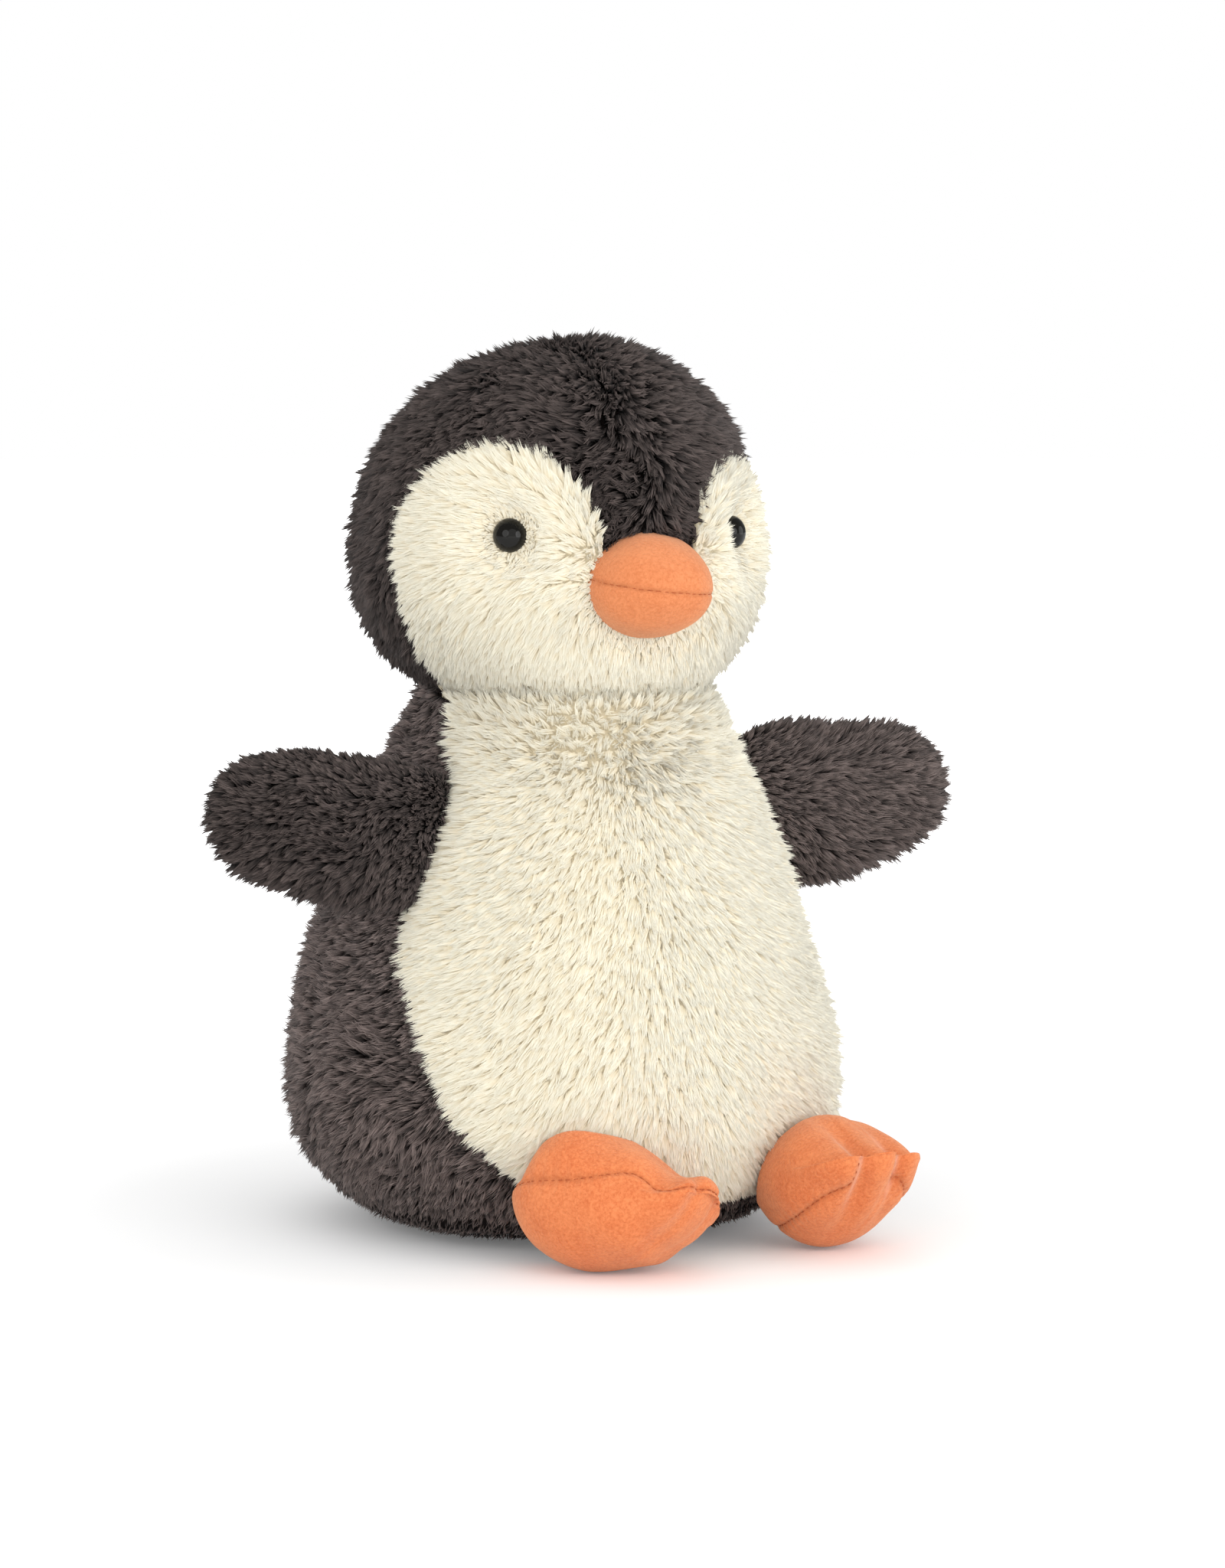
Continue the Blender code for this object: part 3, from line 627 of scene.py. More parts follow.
class NodeSheet:
    """Adds nodes to a tree, giving the inputs that are in use in their order."""

    def __init__(self, tree):
        self.tree = tree

    def __call__(self, kind, *inputs, **settings):
        node = self.tree.nodes.new(kind)
        for name, value in settings.items():
            setattr(node, name, value)
        used = [socket for socket in node.inputs if socket.enabled]
        for socket, value in zip(used, inputs):
            self.give(socket, value)
        return node

    def give(self, socket, value):
        """Links a node's first output in use, or a socket, or sets a plain value. None leaves it be."""
        if isinstance(value, bpy.types.Node):
            value = next(out for out in value.outputs if out.enabled)
        if isinstance(value, bpy.types.NodeSocket):
            self.tree.links.new(value, socket)
        elif value is not None:
            socket.default_value = value

    def math(self, operation, *inputs):
        return self("ShaderNodeMath", *inputs, operation=operation)

    def vector(self, operation, *inputs):
        return self("ShaderNodeVectorMath", *inputs, operation=operation)

    def times(self, *inputs):
        return self.math("MULTIPLY", *inputs)

    def plus(self, *inputs):
        return self.math("ADD", *inputs)

    def scaled(self, *inputs):
        return self.vector("SCALE", *inputs)

    def summed(self, *inputs):
        return self.vector("ADD", *inputs)

    def named(self, name, kind="FLOAT"):
        return self("GeometryNodeInputNamedAttribute", name, data_type=kind)

    def store(self, geometry, name, value, kind="FLOAT", domain="POINT"):
        return self(
            "GeometryNodeStoreNamedAttribute", geometry, None, name, value, data_type=kind, domain=domain
        )


def new_tree(name, kind, inputs, outputs):
    tree = bpy.data.node_groups.new(name, kind)
    for direction, sockets in (("INPUT", inputs), ("OUTPUT", outputs)):
        for label, socket in sockets.items():
            tree.interface.new_socket(label, in_out=direction, socket_type=f"NodeSocket{socket}")
    given = tree.nodes.new("NodeGroupInput")
    result = tree.nodes.new("NodeGroupOutput")
    return tree, NodeSheet(tree), given.outputs, result.inputs


def run_tree(obj, tree, name, **values):
    """Runs a Geometry Nodes tree on an object and returns the result as a plain mesh."""
    modifier = obj.modifiers.new("Nodes", "NODES")
    modifier.node_group = tree
    for item in tree.interface.items_tree:
        label = item.name.lower().replace(" ", "_")
        if item.in_out == "INPUT" and label in values:
            modifier[item.identifier] = values[label]
    graph = bpy.context.evaluated_depsgraph_get()
    mesh = bpy.data.meshes.new_from_object(obj.evaluated_get(graph), depsgraph=graph)
    mesh.name = name
    obj.modifiers.remove(modifier)
    return mesh


def strand_object():
    """One strand to copy: a leaf of four faces, bent at its widest."""
    shape = np.array([(0, 0, 0), (1, -0.5, STRAND_WAIST), (-1, -0.5, STRAND_WAIST), (0, 0, 1)])
    bm = bmesh.new()
    layer = bm.loops.layers.uv.new("strand")
    root, left, right, tip = (bm.verts.new(point) for point in shape)
    for corners in ((root, right, left), (tip, left, right), (root, left, tip), (root, tip, right)):
        for loop in bm.faces.new(corners).loops:
            loop[layer].uv = (0.5 + 0.3 * loop.vert.co.x, 0.04 + 0.92 * loop.vert.co.z)
    mesh = mesh_from(bm, "strand")
    set_values(mesh, "along", shape[:, 2])
    set_values(mesh, "ring", shape * np.array((1, 1, 0)))
    return placed("strand", mesh)


def pile_tree():
    """Strands over a cloth, combed by its attributes and gathered into pointed locks."""
    labels = ("Density", "Lock Spacing", "Length", "Width", "Gather", "Wild", "Tone")
    numbers = dict.fromkeys(labels, "Float")
    tree, add, given, result = new_tree(
        "Pile",
        "GeometryNodeTree",
        {"Cloth": "Geometry", "Strand": "Object", **numbers, "Seed": "Int", "Material": "Material"},
        {"Pile": "Geometry"},
    )
    place = add("GeometryNodeInputPosition")
    comb, trim = add.named("comb", "FLOAT_VECTOR"), add.named("trim")
    outside = add("FunctionNodeCompare", add.named("keep"), 0.0, operation="LESS_THAN")

    def sown(seed_step, *sizes, **settings):
        seed = add.plus(given["Seed"], float(seed_step))
        points = add("GeometryNodeDistributePointsOnFaces", given["Cloth"], None, *sizes, seed, **settings)
        kept = add("GeometryNodeDeleteGeometry", points, outside, domain="POINT")
        return kept, points.outputs["Normal"]

    def chance(low, high, seed_step, kind="FLOAT"):
        seed = add.plus(given["Seed"], float(seed_step))
        return add("FunctionNodeRandomValue", low, high, None, seed, data_type=kind)

    crowd = add.math("DIVIDE", 2.0, add.times(given["Lock Spacing"], given["Lock Spacing"]))
    locks, lock_normal = sown(11, given["Lock Spacing"], crowd, 1.0, distribute_method="POISSON")
    wild = add.scaled(chance((-1, -1, -1), (1, 1, 1), 12, "FLOAT_VECTOR"), given["Wild"])
    aim = add.vector("NORMALIZE", add.summed(add.summed(lock_normal, comb), wild))
    reach = add.times(add.times(given["Length"], trim), chance(*LOCK_REACHES, 13))
    locks = add.store(locks, "sweep", add.scaled(aim, reach), "FLOAT_VECTOR")
    locks = add.store(locks, "shade", chance(0.0, 1.0, 14))

    roots, normal = sown(0, given["Density"], distribute_method="RANDOM")
    nearest = add("GeometryNodeSampleNearest", locks, place)

    def from_lock(value, kind):
        return add("GeometryNodeSampleIndex", locks, value, nearest, data_type=kind)

    sweep = from_lock(add.named("sweep", "FLOAT_VECTOR"), "FLOAT_VECTOR")
    lock_tip = add.summed(from_lock(place, "FLOAT_VECTOR"), sweep)
    stray = add.scaled(chance((-1, -1, -1), (1, 1, 1), 21, "FLOAT_VECTOR"), TIP_STRAY)
    own_tip = add.summed(add.summed(place, sweep), stray)
    gathered = add("ShaderNodeMix", given["Gather"], own_tip, lock_tip, data_type="VECTOR")
    line = add.scaled(add.vector("SUBTRACT", gathered, place), chance(*STRAND_REACHES, 22))
    tip = add.summed(place, line)
    rise = add.times(add.vector("LENGTH", line), STRAND_ARCH)
    bend = add.summed(place, add.scaled(normal, rise))
    side = add.vector("NORMALIZE", add.vector("CROSS_PRODUCT", line, normal))
    up = add.vector("NORMALIZE", add.vector("CROSS_PRODUCT", line, side))
    shade = add.times(from_lock(add.named("shade"), "FLOAT"), LOCK_TINT)
    # Tone darkens a whole piece of pile, as painted shade on the crown and wings
    mixed = add.times(add.plus(shade, chance(0.0, OWN_TINT, 23)), given["Tone"])
    level = add.math("FLOOR", add.times(mixed, TINT_LEVELS - 0.001))
    tint = add.math("DIVIDE", add.plus(level, 0.5), float(TINT_LEVELS))
    frames = (("root", place), ("bend", bend), ("tip", tip), ("side", side), ("up", up), ("lift", normal))
    for name, value in frames:
        roots = add.store(roots, name, value, "FLOAT_VECTOR")
    roots = add.store(roots, "tint", tint)

    strand = add("GeometryNodeObjectInfo", given["Strand"]).outputs["Geometry"]
    copies = add("GeometryNodeInstanceOnPoints", roots, None, strand)
    pile = add("GeometryNodeRealizeInstances", copies)
    along = add.named("along")
    back = add.math("SUBTRACT", 1.0, along)
    shares = {
        "root": add.times(back, back),
        "bend": add.times(add.times(along, back), 2.0),
        "tip": add.times(along, along),
    }
    ring = add("ShaderNodeSeparateXYZ", add.named("ring", "FLOAT_VECTOR"))
    spot = None
    for name, share in shares.items():
        term = add.scaled(add.named(name, "FLOAT_VECTOR"), share)
        spot = add.summed(spot, term) if spot else term
    for name, axis in (("side", "X"), ("up", "Y")):
        size = add.times(ring.outputs[axis], given["Width"])
        spot = add.summed(spot, add.scaled(add.named(name, "FLOAT_VECTOR"), size))
    spot = add.vector("MAXIMUM", spot, (-1.0, -1.0, FLOOR_GAP))
    pile = add("GeometryNodeSetPosition", pile, None, spot)
    cell = add("ShaderNodeSeparateXYZ", add.named("strand", "FLOAT_VECTOR"))
    column = add.math("FLOOR", add.times(add.named("tint"), float(TINT_LEVELS)))
    across = add.math("DIVIDE", add.plus(column, cell.outputs["X"]), float(TINT_LEVELS))
    uv = add("ShaderNodeCombineXYZ", across, cell.outputs["Y"])
    pile = add.store(pile, "OFBake", uv, "FLOAT2", "CORNER")
    for name in ("root", "bend", "tip", "side", "up", "ring", "strand", "comb", "trim", "keep"):
        pile = add("GeometryNodeRemoveAttribute", pile, name)
    pile = add("GeometryNodeSetShadeSmooth", pile)
    pile = add("GeometryNodeSetMaterial", pile, None, given["Material"])
    add.give(result["Pile"], pile)
    return tree


def stitch_tree():
    """Short thread stitches along a seam line, half sunk in it."""
    tree, add, given, result = new_tree(
        "Stitches",
        "GeometryNodeTree",
        {"Seam": "Geometry", "Step": "Float", "Thickness": "Float", "Material": "Material"},
        {"Stitches": "Geometry"},
    )
    line = add("GeometryNodeMeshToCurve", given["Seam"])
    line = add("GeometryNodeResampleCurve", line, None, given["Step"], mode="LENGTH")
    spots = add("GeometryNodeCurveToPoints", line, mode="EVALUATED")
    turn = add("FunctionNodeAlignRotationToVector", None, None, spots.outputs["Tangent"], axis="Z")
    ball = add("GeometryNodeMeshUVSphere", 8, 6, 1.0)
    half = add.times(given["Step"], 0.33)
    size = add("ShaderNodeCombineXYZ", given["Thickness"], given["Thickness"], half)
    copies = add("GeometryNodeInstanceOnPoints", spots, None, ball, None, None, turn, size)
    made = add("GeometryNodeRealizeInstances", copies)
    made = add("GeometryNodeSetShadeSmooth", made)
    made = add("GeometryNodeSetMaterial", made, None, given["Material"])
    add.give(result["Stitches"], made)
    return tree


# Materials


def new_material(name, **constants):
    """A material with a Principled shader, whose even values are set on its own sockets."""
    material = bpy.data.materials.new(name)
    material.use_nodes = True
    shader = material.node_tree.nodes["Principled BSDF"]
    for label, value in constants.items():
        shader.inputs[label.replace("_", " ")].default_value = value
    return material, NodeSheet(material.node_tree), shader


def plug(add, shader, **sources):
    for label, source in sources.items():
        add.give(shader.inputs[label.replace("_", " ")], source)


def place_group(add, group, **values):
    node = add("ShaderNodeGroup", node_tree=group)
    plug(add, node, **values)
    return node.outputs


def rgb(colour):
    return (*colour, 1)


def mottled(add, colour, shade, patch, grain):
    if isinstance(shade, float):
        shade = [part * shade for part in colour]
    return place_group(
        add, GROUPS["mottle"], Colour=rgb(colour), Shade=rgb(shade), Patch=patch, Grain=grain
    )


def pile_shade_group():
    """Pile colour from root to tip, the root's darkness being painted shade between the strands, with each
    strand a little lighter or darker.
    """
    tree, add, given, result = new_tree(
        "Pile Shade",
        "ShaderNodeTree",
        {"Along": "Float", "Tint": "Float", "Root": "Color", "Tip": "Color", "Spread": "Float"},
        {"Colour": "Color", "Roughness": "Float"},
    )
    rise = add("ShaderNodeMapRange", given["Along"], 0.32, 1.0, 0.0, 1.0, interpolation_type="SMOOTHSTEP")
    colour = add("ShaderNodeMix", rise, given["Root"], given["Tip"], data_type="RGBA")
    off = add.times(add.math("SUBTRACT", given["Tint"], 0.5), given["Spread"])
    bright = add.plus(1.0, off)
    toned = add("ShaderNodeHueSaturation", None, None, bright, None, colour)
    rough = add("ShaderNodeMapRange", given["Tint"], 0.0, 1.0, 0.62, 0.82)
    add.give(result["Colour"], toned)
    add.give(result["Roughness"], rough)
    return tree


def mottle_group():
    """Cloth that lightens and darkens in soft patches and fine grain, with its height."""
    tree, add, given, result = new_tree(
        "Cloth Mottle",
        "ShaderNodeTree",
        {"Colour": "Color", "Shade": "Color", "Patch": "Float", "Grain": "Float"},
        {"Colour": "Color", "Roughness": "Float", "Height": "Float"},
    )
    spot = add("ShaderNodeTexCoord").outputs["Object"]
    patch = add("ShaderNodeTexNoise", spot, given["Patch"], 3.0, 0.6)
    grain = add("ShaderNodeTexNoise", spot, given["Grain"], 4.0, 0.7)
    fine = add("ShaderNodeTexNoise", spot, add.times(given["Grain"], 2.7), 2.0, 0.6)
    wide = add.times(add.math("SUBTRACT", patch.outputs["Fac"], 0.5), 1.1)
    close = add.times(add.math("SUBTRACT", grain.outputs["Fac"], 0.5), 3.2)
    share = add.plus(0.42, add.plus(wide, close))
    share.use_clamp = True
    colour = add("ShaderNodeMix", share, given["Colour"], given["Shade"], data_type="RGBA")
    rough = add("ShaderNodeMapRange", share, 0.0, 1.0, 0.75, 0.95)
    height = add.plus(grain.outputs["Fac"], add.times(fine.outputs["Fac"], 0.6))
    add.give(result["Colour"], colour)
    add.give(result["Roughness"], rough)
    add.give(result["Height"], height)
    return tree


def pile_material(name, pile):
    material, add, shader = new_material(
        name, Sheen_Weight=0.05, Sheen_Roughness=0.5, Specular_IOR_Level=0.2
    )
    along = add("ShaderNodeAttribute", attribute_name="along").outputs["Fac"]
    tint = add("ShaderNodeAttribute", attribute_name="tint").outputs["Fac"]
    root, tip = rgb(pile.root), rgb(pile.tip)
    shade = place_group(
        add, GROUPS["pile"], Along=along, Tint=tint, Root=root, Tip=tip, Spread=pile.spread
    )
    plug(add, shader, Base_Color=shade["Colour"], Roughness=shade["Roughness"])
    return material


def backing_material(name, dark_pile, cream_pile):
    """The woven cloth under the pile, cream on one side of a seam and dark on the other."""
    material, add, shader = new_material(name, Specular_IOR_Level=0.15)
    reach = add("ShaderNodeAttribute", attribute_name="cream").outputs["Fac"]
    side = add("ShaderNodeMapRange", reach, -0.0004, 0.0004, 0.0, 1.0)
    # Both sides take the pile's root colour, and with it the painted shade between strands
    dark = mottled(add, dark_pile.root, 0.6, 60.0, 900.0)
    cream = mottled(add, cream_pile.root, 0.9, 60.0, 900.0)
    colour = add("ShaderNodeMix", side, dark["Colour"], cream["Colour"], data_type="RGBA")
    plug(add, shader, Base_Color=colour, Roughness=dark["Roughness"])
    bump = add("ShaderNodeBump", 0.4, 0.0004, None, dark["Height"])
    plug(add, shader, Normal=bump)
    return material


def suede_material(name, colour, shade):
    material, add, shader = new_material(
        name,
        Sheen_Weight=0.5,
        Sheen_Roughness=0.4,
        Sheen_Tint=(1.0, 0.72, 0.50, 1.0),
        Specular_IOR_Level=0.1,
    )
    nap = mottled(add, colour, shade, 110.0, 1300.0)
    # A painted highlight lightens the suede along the toes' shoulders
    ridge = add("ShaderNodeAttribute", attribute_name="ridge").outputs["Fac"]
    seam = add("ShaderNodeAttribute", attribute_name="seam").outputs["Fac"]
    light = rgb([1 - (1 - c) * 0.72 for c in colour])
    # Painted shade darkens the suede along the seam's groove
    dark = rgb([c * 0.62 for c in shade])
    wear_and_highlight = add("ShaderNodeMix", add.times(ridge, 1.3), nap["Colour"], light, data_type="RGBA")
    sewn = add("ShaderNodeMix", add.times(seam, 0.45), wear_and_highlight, dark, data_type="RGBA")
    plug(add, shader, Base_Color=sewn, Roughness=nap["Roughness"])
    bump = add("ShaderNodeBump", 0.7, 0.0005, None, nap["Height"])
    plug(add, shader, Normal=bump)
    return material


def thread_material(suede):
    # Stitches of thread, coloured darker than the suede as painted shade of their holes
    material, add, shader = new_material("seam_thread", Specular_IOR_Level=0.3)
    twist = mottled(add, suede.thread, 0.6, 300.0, 2500.0)
    plug(add, shader, Base_Color=twist["Colour"], Roughness=twist["Roughness"])
    return material


def eye_material():
    material, add, shader = new_material("eye_plastic", Specular_IOR_Level=0.26)
    spot = add("ShaderNodeTexCoord").outputs["Object"]
    scuff = add("ShaderNodeTexNoise", spot, 420.0, 3.0, 0.6)
    rough = add("ShaderNodeMapRange", scuff.outputs["Fac"], 0.3, 0.7, 0.03, 0.06)
    black, wear_and_highlight = (0.004, 0.004, 0.003, 1), (0.008, 0.007, 0.006, 1)
    colour = add("ShaderNodeMix", scuff.outputs["Fac"], black, wear_and_highlight, data_type="RGBA")
    plug(add, shader, Base_Color=colour, Roughness=rough)
    return material


GROUPS = {}
TREES = {}
FINISH = {}


def prepare(scene):
    """Trees and materials that more than one piece uses, made once."""
    if FINISH:
        return
    dark, cream, suede = scene.penguin_dark, scene.penguin_cream, scene.penguin_suede
    GROUPS["pile"] = pile_shade_group()
    GROUPS["mottle"] = mottle_group()
    TREES["pile"] = pile_tree()
    TREES["stitch"] = stitch_tree()
    FINISH["dark"] = pile_material("dark_pile", dark)
    FINISH["cream"] = pile_material("cream_pile", cream)
    FINISH["backing"] = backing_material("pile_backing", dark, cream)
    FINISH["suede"] = suede_material("orange_suede", suede.colour, suede.shade)
    FINISH["beak"] = suede_material("beak_suede", suede.beak, suede.beak_shade)
    FINISH["thread"] = thread_material(suede)
    FINISH["eye"] = eye_material()


def grow_pile(name, form, keep, comb, trim, cloth, density, step, tone=1.0, length=None, wild=None):
    """A piece of pile over the part of a form where keep is above 0."""
    settings = getattr(bpy.context.scene, f"penguin_{cloth}")
    mesh = form.data.copy()
    set_values(mesh, "keep", keep)
    set_values(mesh, "comb", comb)
    set_values(mesh, "trim", trim)
    bm = bmesh.new()
    bm.from_mesh(mesh)
    bm.verts.ensure_lookup_table()
    bare = [face for face in bm.faces if all(keep[vert.index] < -0.0005 for vert in face.verts)]
    bmesh.ops.delete(bm, geom=bare, context="FACES")
    bm.to_mesh(mesh)
    bm.free()
    emitter = placed("emitter", mesh)
    strand = strand_object()
    made = run_tree(
        emitter,
        TREES["pile"],
        name,
        strand=strand,
        density=density,
        lock_spacing=settings.spacing,
        length=length or settings.length,
        width=settings.width,
        gather=settings.gather,
        wild=settings.wild if wild is None else wild,
        tone=tone,
        seed=settings.seed + step,
        material=FINISH[cloth],
    )
    for helper in (emitter, strand):
        bpy.data.objects.remove(helper, do_unlink=True)
    soften(made, settings.softness)
    obj = placed(name, made)
    obj.visible_shadow = settings.shades
    return obj


def soften(mesh, share):
    """Turns the strands' shading normals towards the cloth's, as light that passes through pile does."""
    lift = np.zeros(len(mesh.vertices) * 3, np.float32)
    mesh.attributes["lift"].data.foreach_get("vector", lift)
    mesh.attributes.remove(mesh.attributes["lift"])
    normals = unit(lift.reshape(-1, 3) * share + normals_of(mesh) * (1 - share))
    mesh.normals_split_custom_set_from_vertices(normals)


def fill_neck(points):
    """Stuffs out the crease under the chin."""
    round_neck = unit(points * (1, 1, 0) + (0, -1e-9, 0))
    front = smooth(0.55, 0.95, -round_neck[:, 1])
    level = bell(points[:, 2] - NECK_HEIGHT, NECK_FILL_HEIGHT)
    outside = smooth(0.5, 0.9, np.hypot(points[:, 0], points[:, 1]) / NECK_RADIUS)
    return points + round_neck * (NECK_FILL * front * level * outside)[:, None]


def stuffed(points, normals, cream, drawn, dimple, size, turn=0.0):
    """Cloth pushed out by its stuffing, farther under the shorter cream pile, and drawn in at seams."""
    proud = (PILE_DEPTH - CREAM_DEPTH) * smooth(-SEAM_WIDTH, SEAM_WIDTH, cream)
    dimples = np.where(cream > 0, CREAM_DIMPLE, dimple) * ripple(points, size, turn)
    return fill_neck(points + normals * (dimples + proud - drawn)[:, None])


def swirl(comb, normals, points, amount, size):
    """Turns combing directions a little, in uneven patches."""
    angle = (amount * ripple(points, size))[:, None]
    return comb * np.cos(angle) + np.cross(normals, comb) * np.sin(angle)


def brushed(comb, lean, cream, reach, surface, points, normals, sizes, turn):
    """Combing turned in uneven patches, parted at the cream's seam and leaned over."""
    uneven = np.where(cream > 0, CREAM_SWIRL, DARK_SWIRL)
    comb = swirl(unit(laid(comb, normals)), normals, points, uneven, sizes[0])
    comb = part_at_seam(comb, cream, reach_slope(reach, surface, normals), PARTING_WIDTH)
    return comb * (lean * (1 + 0.5 * uneven * ripple(points, sizes[1], turn)))[:, None]


def grow_halves(form, body, areas, room, comb, trim, first_seed):
    """Pile over the right and left halves of a form's areas, which have a panel each but for the flank."""
    x = points_of(form.data)[:, 0]
    for step, (area, (cloth, reach, tone)) in enumerate(areas.items()):
        for side, sign in SIDES.items():
            keep = np.minimum.reduce([reach, sign * x, *room])
            name, seed = f"{area}_pile_{side}", first_seed + 100 * step + sign
            piece = grow_pile(name, form, keep, comb, trim, cloth, DENSITIES[area], seed, tone)
            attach(piece, body)
            if area != "flank":
                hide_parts(f"{area}_panel_{side}")


def from_toes(turn):
    """The turn away from the toes' direction, -Y, from -pi to pi."""
    return np.arctan2(np.sin(turn + math.pi / 2), np.cos(turn + math.pi / 2))


def toe_gap(side, across):
    """1 between two toes, falling to 0 on the toes themselves."""
    return sum(bell(across - gap, TOE_NOTCH_WIDTH) for gap in TOE_GAPS[side])


def sewn(points, sizes, above, turn, puckers, pucker_width, pucker_depth, seam_depth, soft_size, soft_depth):
    """Suede drawn in and puckered at its seam, and how near each point is to the seam."""
    out = unit(points / np.array(sizes) ** 2)
    near_seam = bell(above, SEAM_NEAR)
    pucker = np.sin(turn * puckers) * bell(above, pucker_width)
    soft = ripple(points, soft_size) * soft_depth
    lift = soft + pucker_depth * pucker - seam_depth * near_seam
    return points + out * lift[:, None], near_seam


def foot_outline(side, turn):
    """The foot's edge: round heel at +Y, three toes at -Y, with more points round the toes."""
    ahead = from_toes(turn)
    turn = ahead - 0.5 * np.sin(ahead) - math.pi / 2
    heel = superellipse(turn, FOOT_HALF_WIDTH, FOOT_HEEL, 2.2)
    toe = superellipse(turn, FOOT_HALF_WIDTH, FOOT_TOE, 2.6)
    drawn = TOE_NOTCHES[side] * toe_gap(side, toe[:, 0]) * np.maximum(0, -toe[:, 1] / FOOT_TOE)
    toe = toe - unit(toe) * drawn[:, None]
    return np.where(np.sin(turn)[:, None] > 0, heel, toe)


def foot_pillow(side, ball):
    def crease(flat):
        ahead = np.maximum(0, -flat[:, 1] / FOOT_TOE)
        return (1 - 0.25 * ahead) * (1 - TOE_FOLD[side] * toe_gap(side, flat[:, 0]) * ahead**1.5)

    return pillow_points(ball, lambda turn: foot_outline(side, turn), FOOT_TOP, FOOT_SOLE, crease=crease)


def foot_rest(side):
    place, reach, turn, pitch, roll = FEET[side]
    lean = Matrix.Rotation(turn, 4, "Z") @ Matrix.Rotation(-pitch, 4, "X") @ Matrix.Rotation(roll, 4, "Y")
    trial, ball = ball_mesh("foot_trial", 32, 8)
    bpy.data.meshes.remove(trial)
    lowest = moved(foot_pillow(side, ball), lean)[:, 2].min()
    return Matrix.Translation((reach * math.sin(place), -reach * math.cos(place), -lowest)) @ lean


def foot_seam(side, turn):
    """The edge seam's height on the ball that the foot is spread from."""
    off = np.degrees(np.abs(from_toes(turn)))
    if side == "left":
        return -0.63 * smooth(12, 30, off)
    return 0.06 + 0.36 * bell(off - 68, np.where(off > 68, 28, 14))


def foot_slump(side, points, ball):
    """How far the filled foot stands up from its plain form: curled toes, raised instep, lifted heel."""
    y = points[:, 1]
    ahead = np.clip(-y / FOOT_TOE, 0, 1)
    upper, lower = smooth(0.0, 0.3, ball[:, 2]), smooth(0.0, 0.3, -ball[:, 2])
    if side == "left":
        toes = (0.0022 * lower - 0.0042 * upper) * smooth(0.15, 0.8, ahead)
        toes = toes + 0.0016 * lower * smooth(0.8, 1, ahead)
        heel = 0.0050 * smooth(0.002, 0.021, y) * lower + 0.0045 * smooth(0.010, 0.021, y) * lower
        return toes + heel + 0.0010 * smooth(0.006, 0.018, y) * upper
    curl = 0.0050 * smooth(0.55, 1.0, ahead) ** 2
    hollow = -0.0016 * bell(ahead - 0.66, 0.2) * upper
    instep = 0.0040 * bell(y - 0.004, 0.009) * upper
    sole = (0.0022 * smooth(0.45, 0.65, ahead) + 0.0022 * smooth(0.85, 1.0, ahead)) * lower
    heel = 0.0020 * smooth(0.012, 0.021, y) * lower - 0.0045 * smooth(0.009, 0.019, y) * upper
    return curl + hollow + instep + sole + heel


def foot_points(side, ball):
    """The foot's points in place, how near each is to the seam, and where a painted highlight lightens the
    toes' shoulders.
    """
    points = foot_pillow(side, ball)
    turn = turn_of(ball)
    above = ball[:, 2] - foot_seam(side, turn)
    ahead = np.maximum(0, -points[:, 1] / FOOT_TOE)
    # A painted highlight along each toe's shoulder, on the side that faces the light
    shoulder = sum(bell(points[:, 0] - gap + 0.0013, 0.0007) for gap in TOE_GAPS[side])
    ridge = shoulder * smooth(0.40, 0.75, ahead) * TOE_FOLD[side]
    slump = foot_slump(side, points, ball)
    sizes = (FOOT_HALF_WIDTH, FOOT_HALF_LENGTH, FOOT_SOLE)
    points, near_seam = sewn(points, sizes, above, turn, **FOOT_SEWING)
    points = moved(points, foot_rest(side))
    points[:, 2] += slump
    points = out_of_body(points, side)
    points[:, 2] = np.maximum(points[:, 2], FLOOR_GAP)
    return points, near_seam, ridge


def out_of_body(points, side):
    """Presses a foot's heel against the body, at rest and where its hinge stops."""
    hinge = HINGES[f"foot_{side}_tip"]
    origin, axis = Vector(hinge["pos_m"]), Vector(hinge["axis"])
    for tip in (0, *hinge["range_deg"]) * 2:
        turn = Matrix.Rotation(math.radians(tip), 4, axis)
        turn = Matrix.Translation(origin) @ turn @ Matrix.Translation(-origin)
        there = moved(points, turn)
        radius = np.hypot(there[:, 0], there[:, 1])
        room = body_radius(np.clip(there[:, 2], FLOOR_GAP, NECK_HEIGHT)) + SEAM_GAP
        push = np.where(there[:, 2] < 0, 1.0, np.maximum(room / np.maximum(radius, 1e-6), 1.0))
        there[:, :2] *= push[:, None]
        points = moved(there, turn.inverted())
    return points


def sew(name, line, thickness, body):
    """Stitches along a closed line of points."""
    count = len(line)
    mesh = bpy.data.meshes.new("seam")
    mesh.from_pydata(line, [(i, (i + 1) % count) for i in range(count)], [])
    holder = placed("seam", mesh)
    step = bpy.context.scene.penguin_suede.stitch
    made = run_tree(
        holder, TREES["stitch"], name, step=step, thickness=thickness, material=FINISH["thread"]
    )
    bpy.data.objects.remove(holder, do_unlink=True)
    obj = placed(name, made)
    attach(obj, body)
    return obj


# Operators


